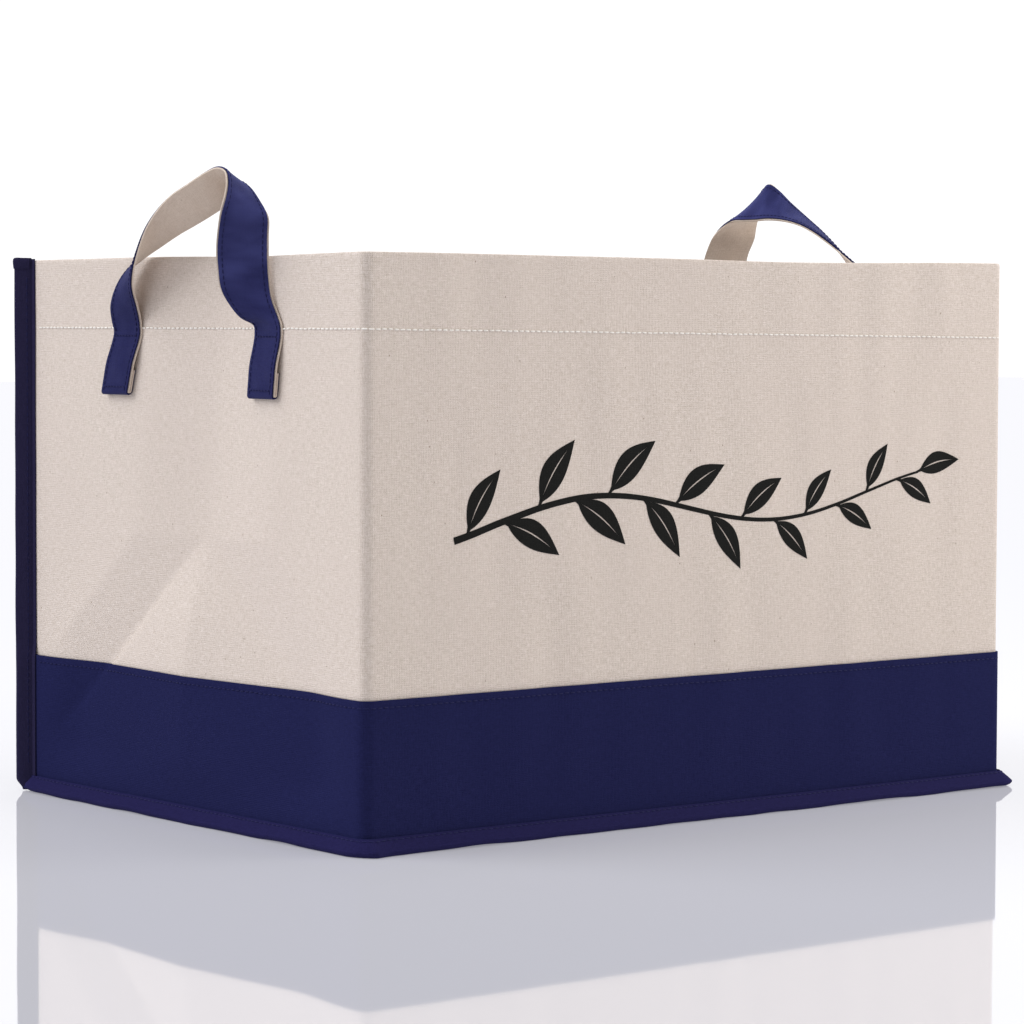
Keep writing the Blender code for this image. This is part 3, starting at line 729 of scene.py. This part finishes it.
def build_canvas_wall(word, columns, fin_side):
    """Canvas wall from inside the band's lap up, over the rim, and down inside as the hem."""
    radius = PLY_PITCH / 2
    top = BIN_HEIGHT - CANVAS / 2 - radius
    wall_z = np.linspace(CANVAS_FOOT, top, round((top - CANVAS_FOOT) / GRID) + 1)
    turns = np.linspace(0.0, math.pi, 7)[1:]
    hem_z = np.linspace(top, BIN_HEIGHT - HEM_DEPTH, 14)[1:]
    u = np.concatenate([0 * wall_z, radius * (np.cos(turns) - 1), 0 * hem_z - PLY_PITCH])
    z = np.concatenate([wall_z, top + radius * np.sin(turns), hem_z])
    points = wall_points(columns, column(u), column(z))
    rows = with_fins(points, fin_side * FIN_OFFSET, z, len(wall_z))
    up = lengths(np.stack([u, z, 0 * z], axis=1))
    across = lengths(rows[0])
    mesh = grid_mesh(f"canvas_{word}_cloth", rows, uv_grid(across, up))
    item = put(mesh.name, mesh, NATURAL, "bin", (f"canvas_{word}",), CANVAS)


def build_band_wall(word, columns, fin_side):
    """Band from its top edge down the wall to the seam, and out and down in the base fin."""
    wall_z = np.linspace(BAND_TOP, CORNER_FIN_FOOT, round((BAND_TOP - CORNER_FIN_FOOT) / GRID) + 1)
    points = wall_points(columns, np.full((len(wall_z), 1), BAND_U), column(wall_z))
    rows = with_fins(points, fin_side * (FIN_OFFSET + PLY_PITCH), wall_z, len(wall_z))
    reaches = np.linspace(0.0, BASE_FIN, 5)
    pad = np.full((FIN_STEPS, 3), np.nan)
    flange = [np.concatenate([pad, flange_line(*columns, s), pad]) for s in reaches]
    rows = np.concatenate([rows, np.array(flange)])
    up = BAND_TOP - np.concatenate([wall_z, BASE_SEAM - reaches])
    across = lengths(rows[0])
    mesh = grid_mesh(f"band_{word}_cloth", rows, uv_grid(across, -up))
    item = put(mesh.name, mesh, NAVY, "bin", (f"band_{word}",), CANVAS)


def flange_line(place, out, s):
    """The band's line at s down the base fin, its ends trimmed clear of the corner tape."""
    line = []
    limit = WALL_Y + BAND_U - FLANGE_TRIM
    for point, direction in zip(place, out):
        u = BAND_U + s * DIAGONAL
        share = s / BASE_FIN
        radius = (CORNER_RADIUS + BAND_U) * (1 - share) + FIN_TIP_RADIUS * share
        if np.abs(direction).max() < 0.999:
            corner = np.sign(point) * (np.array([WALL_X, WALL_Y]) + u - radius)
            x, y = corner + direction * radius
        else:
            x, y = point + direction * u
        if abs(direction[0]) > 0.999:
            y = min(y, limit)
        elif direction[1] > 0.999:
            x = max(-(WALL_X + BAND_U - FLANGE_TRIM), min(x, WALL_X + BAND_U - FLANGE_TRIM))
        line.append((x, y, BASE_SEAM - s * DIAGONAL))
    return np.array(line)


def ring_columns(u, radius, straight=GRID):
    """Plan of a full ring round the bin, offset u outward, with fine straights and corners."""
    x = WALL_X + u - radius
    y = WALL_Y + u - radius
    corners = ((-x, -y, 180), (x, -y, 270), (x, y, 0), (-x, y, 90))
    points = []
    for k, (cx, cy, start) in enumerate(corners):
        turns = np.radians(start + 90.0 * np.arange(ARC_STEPS + 1) / ARC_STEPS)
        arc = np.stack([cx + radius * np.cos(turns), cy + radius * np.sin(turns)], axis=1)
        nx, ny, after = corners[(k + 1) % 4]
        turn = math.radians(after)
        first = np.array([nx + radius * math.cos(turn), ny + radius * math.sin(turn)])
        length = (2 * WALL_X if k % 2 == 0 else 2 * WALL_Y)
        count = round(length / straight)
        share = np.linspace(0, 1, count + 1)[1:-1, None]
        points += [arc, arc[-1] * (1 - share) + first * share]
    return np.concatenate(points)


def seam_ring(s, p):
    """Ring at s down the base fin and p above the band's ply in it, with ears at the corners."""
    share = max(0.0, min(1.0, s / BASE_FIN))
    radius = (CORNER_RADIUS + BAND_U) * (1 - share) + FIN_TIP_RADIUS * share
    u = BAND_U + (s + p) * DIAGONAL
    ring = ring_columns(u, radius)
    corner = np.abs(ring) - (np.array([WALL_X, WALL_Y]) + u)
    near = np.exp(-(np.linalg.norm(corner, axis=1) / EAR_WIDTH) ** 2) * share
    lift = np.zeros(len(ring))
    for side, front, pull_x, pull_y, pull_z in EARS:
        here = near * (np.sign(ring[:, 0]) == side) * (np.sign(ring[:, 1]) == front)
        ring = ring + here[:, None] * np.array([pull_x, pull_y])
        lift += here * pull_z
    wave = 0.0006 * share * soft_noise(ring[:, 0] * 30, ring[:, 1] * 30, 1.0, 2.0)
    height = np.maximum(BASE_SEAM + (p - s) * DIAGONAL + wave, CANVAS / 2) + lift
    return np.concatenate([ring, height[:, None]], axis=1)


def level(ring, z):
    """Ring of the plan, laid at the height z."""
    return np.concatenate([ring, np.full((len(ring), 1), z)], axis=1)


def build_base():
    """Base panel: flat on the ground, rising to the seam, and turned down again in the fin."""
    ridge = BASE_SEAM - PLY_PITCH * math.tan(math.radians(22.5))
    floor = CANVAS / 2
    foot = ring_columns(-BASE_RISE, CORNER_RADIUS)
    rows = [seam_ring(s, -PLY_PITCH) for s in (BASE_FIN, BASE_FIN / 2)]
    rows.append(level(ring_columns(BAND_U - PLY_PITCH, CORNER_RADIUS), ridge))
    rows.append(level(ring_columns(-BASE_RISE / 2, CORNER_RADIUS), (ridge + floor) / 2 - BASE_SAG))
    rows += [level(foot * share, floor) for share in np.linspace(1.0, 0.04, 14)]
    rows = np.array(rows)
    uv = np.concatenate([rows[:, :, :2], rows[:, :1, :2]], axis=1)
    mesh = grid_mesh("base_panel_cloth", rows, uv, closed=True, cap=True)
    item = put("base_panel_cloth", mesh, NAVY, "bin", ("base_panel",), CANVAS, even=False)


def build_base_tape():
    """Tape folded round the base fin, and the stitches through it."""
    above = CANVAS / 2 + GAP + TAPE / 2
    below = -PLY_PITCH - above
    middle = (above + below) / 2
    half = (above - below) / 2
    blunt = half * BLUNTNESS
    tip = BASE_FIN + GAP + TAPE / 2 - blunt
    profile = [(s, above) for s in np.linspace(TAPE_START, tip, 4)]
    for k in range(1, TURN_STEPS):
        turn = math.pi * k / TURN_STEPS
        profile.append((tip + blunt * math.sin(turn), middle + half * math.cos(turn)))
    profile += [(s, below) for s in np.linspace(tip, TAPE_START * 2, 4)]
    rows = np.array([seam_ring(s, p) for s, p in profile])
    up = lengths(profile)
    around = girth(rows[0])
    mesh = grid_mesh("base_tape", rows, uv_grid(around, up), closed=True)
    item = put("base_tape", mesh, BASE_TAPE, "bin", ("base_binding",), TAPE)
    line = seam_ring(STITCH_FROM_SEAM, above + TAPE / 2 + FINE_RADIUS / 3)
    stitches("base_stitches", [np.concatenate([line, line[:1]])], NAVY_THREAD,
             replaced=("base_thread",), radius=FINE_RADIUS)


def tape_reach(z):
    """Half the opening of the tape round the corner fin, wider over the band's plies."""
    slim = FIN_OFFSET + CANVAS / 2 + GAP + TAPE / 2
    share = np.clip((z - BAND_TOP - 0.0005) / TAPE_RISE, 0.0, 1.0)
    return slim + PLY_PITCH * (1 - share)


def flare_points(z, side):
    """Plan of the tape's edge where it lies on the end wall beside the fin."""
    over_band = PLY_PITCH * (1 - float(smoothstep((z - BAND_TOP) / TAPE_RISE)))
    x = side * (WALL_X + CANVAS / 2 + TAPE / 2 + FLARE_LIFT + over_band)
    root = fin_point(TAPE_START, float(tape_reach(z)), side)
    push = push_at((side * WALL_X, root[1] - 0.003), (side, 0), z)
    reach = FLARE + 0.0004 * noise.noise(Vector((5.0, 1.0, z * 18)))
    return [(x + side * push, root[1] - reach * share) for share in (1.0, 0.7, 0.4, 0.15)]


def tape_profile(z, grow=0.0):
    """Cross-section of the tape round the corner fin at a height: (along the fin, across it)."""
    reach = float(tape_reach(z)) + grow
    blunt = reach * 0.6
    curl = TAPE_CURL * (1 - float(smoothstep((z - TAPE_FOOT) / 0.006)))
    tip = CORNER_FIN + GAP + TAPE / 2 + grow - blunt - curl
    wander = 0.0004 * noise.noise(Vector((0.0, 3.0, z * 25)))
    arm = [(TAPE_START + (tip - TAPE_START) * k / 3, reach) for k in range(4)]
    bend = []
    for k in range(1, TURN_STEPS):
        turn = math.pi * k / TURN_STEPS
        bend.append((tip + wander + blunt * math.sin(turn), reach * math.cos(turn)))
    return arm + bend + [(s, -p) for s, p in arm[::-1]]


def build_corner_tape(side, word):
    """Tape down the back corner's fin, with its top end turned over the rim."""
    levels = np.concatenate([np.linspace(TAPE_FOOT, 0.009, 10), np.linspace(0.012, BIN_HEIGHT + 0.0007, 70)])
    rows = []
    for z in levels:
        plan = flare_points(z, side) + [fin_point(s, p, side) for s, p in tape_profile(z)]
        rows.append([(x, y, z) for x, y in plan])
    rows = np.array(rows)
    across = lengths(rows[-1])
    name = "corner_tape_" + word
    mesh = grid_mesh(name, rows, uv_grid(across, levels))
    item = put(name, mesh, NAVY_TAPE, "bin", ("corner_binding_" + word,), TAPE)
    rows = []
    for rise, grow, pinch in TAPE_END:
        profile = tape_profile(BIN_HEIGHT, grow)
        rows.append([(*fin_point(s, p * pinch, side), BIN_HEIGHT + rise) for s, p in profile])
    rows = np.array(rows)
    mesh = grid_mesh(name + "_end", rows, uv_grid(girth(rows[0]), lengths(rows[:, 0])), closed=True, cap=True)
    put(name + "_end", mesh, NAVY_TAPE, "bin", (), TAPE * 0.8, even=False)
    line = []
    for z in np.linspace(CORNER_FIN_FOOT + 0.004, BIN_HEIGHT - 0.009, 60):
        face = float(tape_reach(z)) + TAPE / 2 + FINE_RADIUS / 3
        line.append((*fin_point(STITCH_FROM_SEAM, face, side), z))
    stitches("corner_stitches_" + word, [line], NAVY_THREAD,
             replaced=("corner_thread_" + word,), radius=FINE_RADIUS)


def build_wall_stitches():
    """Topstitching along the hem and along the band's top edge."""
    wrap = wrap_columns(WALL_Y - STITCH_END)
    back = back_columns(STITCH_END)
    rows = (
        ("hem", CANVAS / 2 + STITCH_RADIUS * 0.6, BIN_HEIGHT - HEM_STITCH, HEM_TILT, CREAM_THREAD,
         "cream_thread", HEM_STITCH_LENGTH, STITCH_RADIUS),
        ("band", BAND_U + CANVAS / 2 + FINE_RADIUS * 0.5, BAND_TOP - STITCH_FROM_EDGE, 0.0, NAVY_THREAD,
         "navy_thread", STITCH_LENGTH, FINE_RADIUS),
    )
    for word, u, z, tilt, material, slot, length, radius in rows:
        for place, columns in (("wrap", wrap), ("back", back)):
            across = columns[0][:, 0] / WALL_X
            wander = soft_noise(across * 9.0, columns[0][:, 1] * 40.0, 4.0, 1.0)
            heights = z - tilt * across + HEM_WANDER * wander
            line = wall_points(columns, np.array([[u]]), heights[None, :])[0]
            stitches(f"{word}_stitches_{place}", [line], material, replaced=(f"{word}_thread_{place}",),
                     length=length, radius=radius)


def layer(k):
    """Distance from the canvas to the middle of the k-th ply of a sewn-down strap end."""
    return GAP + STRAP_PLY / 2 + k * STRAP_PITCH


def turned_end(outer, inner):
    """Profile (outward, up) of one ply of a strap end: down, round the turn and up underneath."""
    middle = (layer(outer) + layer(inner)) / 2
    radius = (layer(outer) - layer(inner)) / 2
    centre = TAB_FOOT + STRAP_PLY / 2 + (layer(3) - layer(0)) / 2
    step_foot = TAB_FOOT + TAB_TURN_UP + 0.0012
    profile = []
    for share in np.linspace(0.0, 1.0, 10):
        ease = float(smoothstep(share))
        profile.append((layer(outer - 2) * (1 - ease) + layer(outer) * ease,
                        TAB_TOP * (1 - share) + step_foot * share))
    profile += [(layer(outer), z) for z in np.linspace(step_foot, centre, 6)[1:-1]]
    for i in range(TURN_STEPS + 1):
        turn = math.pi * i / TURN_STEPS
        profile.append((middle + radius * math.cos(turn), centre - radius * math.sin(turn)))
    profile += [(layer(inner), z) for z in np.linspace(centre, TAB_FOOT + TAB_TURN_UP, 6)[1:]]
    return profile


def smooth(points, steps):
    """Catmull-Rom curve through the points."""
    padded = [points[0]] + list(points) + [points[-1]]
    curve = []
    for a, b, c, d in zip(padded, padded[1:], padded[2:], padded[3:]):
        for i in range(steps):
            t = i / steps
            curve.append(0.5 * (2 * b + (c - a) * t + (2 * a - 5 * b + 4 * c - d) * t * t
                                + (3 * b - a - 3 * c + d) * t ** 3))
    curve.append(points[-1])
    return curve


def strap_point(u, y, z, side):
    """World point outside the left (-1) or right (+1) end, following the wall's folds near the hem."""
    push = push_at((side * WALL_X, -side * y), (side, 0), z)
    follow = 1 - float(smoothstep((z - FOLLOW_TOP) / FOLLOW_FADE))
    return np.array([side * (BIN_WIDTH / 2 + u + push * follow), -side * y, z])


def tabs(side):
    """Place back of each sewn-down end at its top, and its lean, on one side; the right loop is set wider."""
    return [(y - WIDER_SET * (side > 0 > y), lean) for y, lean in (TAB_FRONT, TAB_BACK)]


def strap_rows(side, outer, inner, width, depth):
    """One ply of a whole strap: up one sewn-down end, round the free loop and down the other end."""
    ends = []
    for (y_top, lean), turn in zip(tabs(side), (1, -1)):
        rows = []
        for u, z in turned_end(outer, inner):
            y = y_top + lean * (TAB_TOP - z)
            rows.append([strap_point(u, y + sign * turn * width / 2, z, side) for sign in (-1, 1)])
        ends.append(rows)
    loop = np.array(RIGHT_LOOP if side > 0 else LEFT_LOOP) * 0.001
    near, far = (smooth([strap_point(*point, side) for point in loop[:, edge]], STRAP_STEPS)
                 for edge in (0, 1))
    scale = width / STRAP_WIDTH
    free = []
    for i, (a, b) in enumerate(zip(near, far)):
        before, after = max(i - 1, 0), min(i + 1, len(near) - 1)
        row = []
        for share in (-1.0, 1.0):
            along = (near[after] - near[before]) * (1 - share) + (far[after] - far[before]) * (1 + share)
            normal = np.cross(along, b - a)
            normal /= np.linalg.norm(normal)
            row.append((a + b) / 2 + (b - a) / 2 * share * scale - normal * depth)
        free.append(row)
    return np.array([*ends[0][::-1], *free, *ends[1]])


def ribbon(edges, columns):
    """Rows of columns points across a strap, given as pairs of edge points."""
    share = np.linspace(0.0, 1.0, columns)[None, :, None]
    return edges[:, :1] * (1 - share) + edges[:, 1:] * share


def build_handle(side, word):
    """Strap of two plies, dark outside and natural inside, with its edge stitching."""
    body = word + "_handle"
    ends = [f"{word}_{end}" for end in ("front", "back")]
    plies = (
        ("web", 3, 0, STRAP_WIDTH, 0.0, NAVY_STRAP, "navy_strap",
         [body + "_strap"] + [end + "_strap_end" for end in ends]),
        ("inside", 2, 1, LINING_WIDTH, STRAP_PITCH, LINING, "natural_canvas",
         [body + "_lining"] + [end + "_lining_end" for end in ends]),
    )
    for kind, outer, inner, width, depth, material, slot, replaced in plies:
        rows = ribbon(strap_rows(side, outer, inner, width, depth), STRAP_COLUMNS)
        along = lengths(rows[:, STRAP_COLUMNS // 2])
        name = f"{body}_{kind}"
        mesh = grid_mesh(name, rows, uv_grid(np.linspace(0.0, width, STRAP_COLUMNS), along))
        item = put(name, mesh, material, None, replaced, STRAP_PLY)
        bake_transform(item)
        if kind == "web":
            web = rows
    build_handle_stitches(side, word, web)


def build_handle_stitches(side, word, web):
    """Edge stitching along a strap's dark side, and the rows that hold its ends down."""
    along = np.gradient(web[:, STRAP_COLUMNS // 2], axis=0)
    across = web[:, -1] - web[:, 0]
    normal = np.cross(along, across)
    normal /= np.linalg.norm(normal, axis=1)[:, None]
    lift = normal * (STRAP_PLY / 2 + STITCH_RADIUS * 0.2)
    first = TURN_STEPS + 5
    inset = TAB_STITCH_INSET / STRAP_WIDTH * 0.7
    lines = []
    for share in (inset, 1 - inset):
        line = web[:, 0] * (1 - share) + web[:, -1] * share + lift
        lines.append(line[first:-first])
    body = word + "_handle"
    replaced = [f"{word}_{place}_end_thread" for place in ("front", "back")]
    item = stitches(body + "_stitches", lines, NAVY_THREAD, body=None, replaced=replaced,
                    length=STRAP_STITCH, pitch=STRAP_STITCH_PITCH, radius=FINE_RADIUS)
    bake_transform(item)
    rows = []
    reach = STRAP_WIDTH / 2 - TAB_STITCH_INSET * 0.7
    for y_top, lean in tabs(side):
        for u, z in ((layer(1), TAB_TOP - 0.0008), (layer(3), TAB_FOOT + TAB_STITCH_INSET * 1.4)):
            y = y_top + lean * (TAB_TOP - z)
            face = u + STRAP_PLY / 2 + STITCH_RADIUS * 0.4
            rows.append([strap_point(face, y + sign * reach, z, side) for sign in (-1, 1)])
    stitches(body + "_end_stitches", rows, NAVY_THREAD, length=STRAP_STITCH,
             pitch=STRAP_STITCH_PITCH, radius=0.00032)


def build_board():
    """Base board's sleeve: a flat cloth tube, sewn shut at the left and open at the right."""
    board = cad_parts["base_board"]
    board.data.materials.clear()
    board.data.materials.append(FIBREBOARD)
    low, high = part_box("base_board")
    clear = GAP + CANVAS / 2
    half_y = high.y + clear
    middle = (low.z + high.z) / 2
    half_z = (high.z - low.z) / 2 + clear
    bend = half_z * 0.7
    turns = np.linspace(0, math.pi, TURN_STEPS + 1)[1:-1]
    section = []
    for sign in (1, -1):
        section += [(sign * y, sign * half_z) for y in np.linspace(-half_y + bend, half_y - bend, 60)]
        section += [(sign * (half_y - bend + bend * math.sin(t)), sign * half_z * math.cos(t)) for t in turns]
    section = np.array(section)
    left = low.x - clear
    right = high.x + GAP + CANVAS
    stations = [*np.linspace(right, left + 0.0015, 90), left]
    rows = []
    for x in stations:
        shrink = 0.45 if x == left else 1.0
        puff = np.array([noise.noise(Vector((x * 22, y * 22, 0.0))) for y in section[:, 0]])
        puff = SLEEVE_PUFF * (1 + puff) * (section[:, 1] > 0)
        height = middle + section[:, 1] * shrink + puff
        rows.append(np.stack([np.full(len(section), x), section[:, 0], height], axis=1))
    rows = np.array(rows)
    around = girth(rows[0])
    mesh = grid_mesh("board_sleeve", rows, uv_grid(around, rows[:, 0, 0]), closed=True, cap=True)
    item = put("board_sleeve", mesh, NATURAL, "base_board", ("base_board_cover",), CANVAS)
    top = middle + half_z + CANVAS / 2 + STITCH_RADIUS * 0.6
    lines = [[(x, sign * (half_y - 0.004), top) for sign in (-1, 1)] for x in (left + 0.006, right - 0.012)]
    lines.append([(x, half_y - 0.005, top) for x in (left + 0.010, right - 0.016)])
    stitches("sleeve_stitches", lines, CREAM_THREAD, body="base_board")


def stem_point(t):
    """Point of the sprig's stem in the plane of the print, t from 0 to 1."""
    x = PRINT_LEFT + (PRINT_RIGHT - PRINT_LEFT) * t
    wave = PRINT_WAVE * math.sin(2 * math.pi * (t * 1.25 - 0.1))
    return Vector((x, PRINT_HEIGHT + wave + PRINT_CLIMB * (t - 0.5)))


def stem_along(t):
    """Direction of the sprig's stem."""
    return (stem_point(t + 0.01) - stem_point(t - 0.01)).normalized()


def leaf_halves(base, direction, length, half_width, stalk):
    """Both halves of an almond leaf with a bare midrib, each as rows of an inner and an outer point."""
    across = Vector((-direction.y, direction.x))
    halves = []
    for sign in (-1, 1):
        rows = []
        for share in np.linspace(0.0, 1.0, 19):
            swell = math.sin(math.pi * max(0.0, (share - 0.08) / 0.92) ** 0.85)
            width = max(stalk * (1 - share), half_width * max(0.0, swell))
            rib = MIDRIB * math.sin(math.pi * min(1.0, max(0.0, (share - 0.14) / 0.72)))
            curl = across * (0.06 * length * math.sin(math.pi * share))
            spine = base + direction * length * share + curl
            outer = spine + across * max(width, rib) * sign
            rows.append((spine + across * rib * sign, (spine + across * rib * sign + outer) / 2, outer))
        halves.append(rows)
    return halves


def build_print():
    """Leafy sprig in black ink on the front, laid on the wall's waves."""
    steps = 6 * LEAF_PAIRS * 2
    stem = []
    for i in range(steps + 1):
        t = i / steps
        along = stem_along(t)
        across = Vector((-along.y, along.x)) * (0.0006 + 0.0012 * (1 - t))
        here = stem_point(t)
        stem.append((here - across, here, here + across))
    strips = [stem]
    for leaf in range(2 * LEAF_PAIRS):
        t = (1 + 3 * leaf) / (6 * LEAF_PAIRS)
        sign = 1 - 2 * (leaf % 2)
        size = 0.72 + 0.28 * math.sin(math.pi * min(1.0, t + 0.25))
        direction = Matrix.Rotation(math.radians(LEAF_ANGLE) * sign, 2) @ stem_along(t)
        strips += leaf_halves(stem_point(t), direction, LEAF_LENGTH * size, LEAF_HALF_WIDTH * size, 0.0008)
    along = (stem_point(1.0) - stem_point(0.99)).normalized()
    strips += leaf_halves(stem_point(1.0), along, LEAF_LENGTH * 0.8, LEAF_HALF_WIDTH * 0.8, 0.0007)
    verts = []
    faces = []
    for strip in strips:
        base = len(verts)
        verts += [point for row in strip for point in row]
        for r in range(len(strip) - 1):
            for c in range(2):
                a = base + 3 * r + c
                faces.append((a, a + 1, a + 4, a + 3))
    flat = np.array([(v.x, v.y) for v in verts])
    push = np.array([push_at((x, -WALL_Y), (0, -1), z) for x, z in flat])
    y = -(WALL_Y + CANVAS / 2 + PRINT_LIFT + push)
    uv = [flat[k] for face in faces for k in face]
    mesh = mesh_of("front_sprig", np.stack([flat[:, 0], y, flat[:, 1]], axis=1).tolist(), faces, uv)
    mesh.validate()
    put("front_sprig", mesh, INK, "bin", ("front_print",), PRINT_INK)


# --- studio ---

def build_stage():
    """White floor with a faint reflection."""
    reach = FLOOR_REACH
    mesh = bpy.data.meshes.new("floor")
    mesh.from_pydata([(-reach, -reach, 0), (reach, -reach, 0), (reach, reach, 0), (-reach, reach, 0)], [],
                     [(0, 1, 2, 3)])
    floor = add_object("floor", mesh)
    material, tree, shader = new_material("floor_white")
    tree.nodes.remove(shader)
    matt = add_node(tree, "ShaderNodeBsdfDiffuse", {"Color": FLOOR_MATT})
    lit = add_node(tree, "ShaderNodeEmission", {"Color": FLOOR_LIT})
    both = add_node(tree, "ShaderNodeAddShader", {0: matt.outputs[0], 1: lit.outputs[0]})
    gloss = add_node(tree, "ShaderNodeBsdfGlossy", {"Roughness": 0.03, "Color": (1.0, 1.0, 1.0)})
    mix = add_node(tree, "ShaderNodeMixShader", {"Fac": FLOOR_GLOSS, 1: both.outputs[0], 2: gloss.outputs[0]})
    feed(tree, tree.nodes["Material Output"], {"Surface": mix.outputs[0]})
    mesh.materials.append(material)


def add_lamp(name, kind, strength, colour, turn, place=(0.0, 0.0, 0.0), **settings):
    """Lamp of a kind, turned by a quaternion."""
    data = bpy.data.lights.new(name, kind)
    data.energy = strength
    data.color = colour
    for key, value in settings.items():
        setattr(data, key, value)
    lamp = add_object(name, data)
    lamp.location = place
    lamp.rotation_mode = "QUATERNION"
    lamp.rotation_quaternion = turn
    return lamp


def build_light():
    """White studio: even light all round, soft suns from behind left and above, and a lamp at the side."""
    world = bpy.data.worlds.new("studio")
    world.use_nodes = True
    tree = world.node_tree
    dome = tree.nodes["Background"]
    feed(tree, dome, {"Color": (1.0, 1.0, 1.0), "Strength": AMBIENT})
    seen = add_node(tree, "ShaderNodeBackground", {"Color": (1.0, 1.0, 1.0), "Strength": BACKDROP})
    path = add_node(tree, "ShaderNodeLightPath", {})
    direct = math_node(tree, "MAXIMUM", path.outputs["Is Camera Ray"], path.outputs["Is Glossy Ray"])
    mix = add_node(tree, "ShaderNodeMixShader", {"Fac": direct, 1: dome.outputs[0], 2: seen.outputs[0]})
    feed(tree, tree.nodes["World Output"], {"Surface": mix.outputs[0]})
    bpy.context.scene.world = world
    bpy.context.scene.view_settings.view_transform = "Standard"
    for name, direction, strength, spread, colour in SUNS:
        turn = Vector(direction).to_track_quat("Z", "Y")
        lamp = add_lamp(name, "SUN", strength, colour, turn, angle=math.radians(spread))
        lamp.visible_glossy = False
    turn = (Vector(SIDE_AIM) - Vector(SIDE_PLACE)).to_track_quat("-Z", "Y")
    add_lamp("side", "AREA", SIDE_POWER, SIDE_COLOUR, turn, SIDE_PLACE, size=SIDE_SIZE)


def build_camera():
    """Camera at the photographed angle: a long lens, low, looking at the near left corner."""
    yaw, pitch, roll = (math.radians(angle) for angle in (CAMERA_YAW, CAMERA_PITCH, CAMERA_ROLL))
    forward = Vector((math.sin(yaw) * math.cos(pitch), math.cos(yaw) * math.cos(pitch), -math.sin(pitch)))
    right = Vector((math.cos(yaw), -math.sin(yaw), 0.0))
    up = right.cross(forward)
    x_axis = right * math.cos(roll) + up * math.sin(roll)
    y_axis = up * math.cos(roll) - right * math.sin(roll)
    data = bpy.data.cameras.new("camera")
    data.lens = CAMERA_LENS
    data.sensor_width = 36.0
    camera = add_object("camera", data)
    turn = Matrix((x_axis, y_axis, -forward)).transposed()
    camera.matrix_world = Matrix.Translation(CAMERA_PLACE) @ turn.to_4x4()
    bpy.context.scene.camera = camera


build_camera()
build_light()
build_stage()
for pieces in wall_pair(0.0):
    build_canvas_wall(*pieces)
for pieces in wall_pair(BAND_U):
    build_band_wall(*pieces)
build_base()
build_base_tape()
for side, word in ((-1, "left"), (1, "right")):
    build_corner_tape(side, word)
    build_handle(side, word)
build_wall_stitches()
build_board()
build_print()
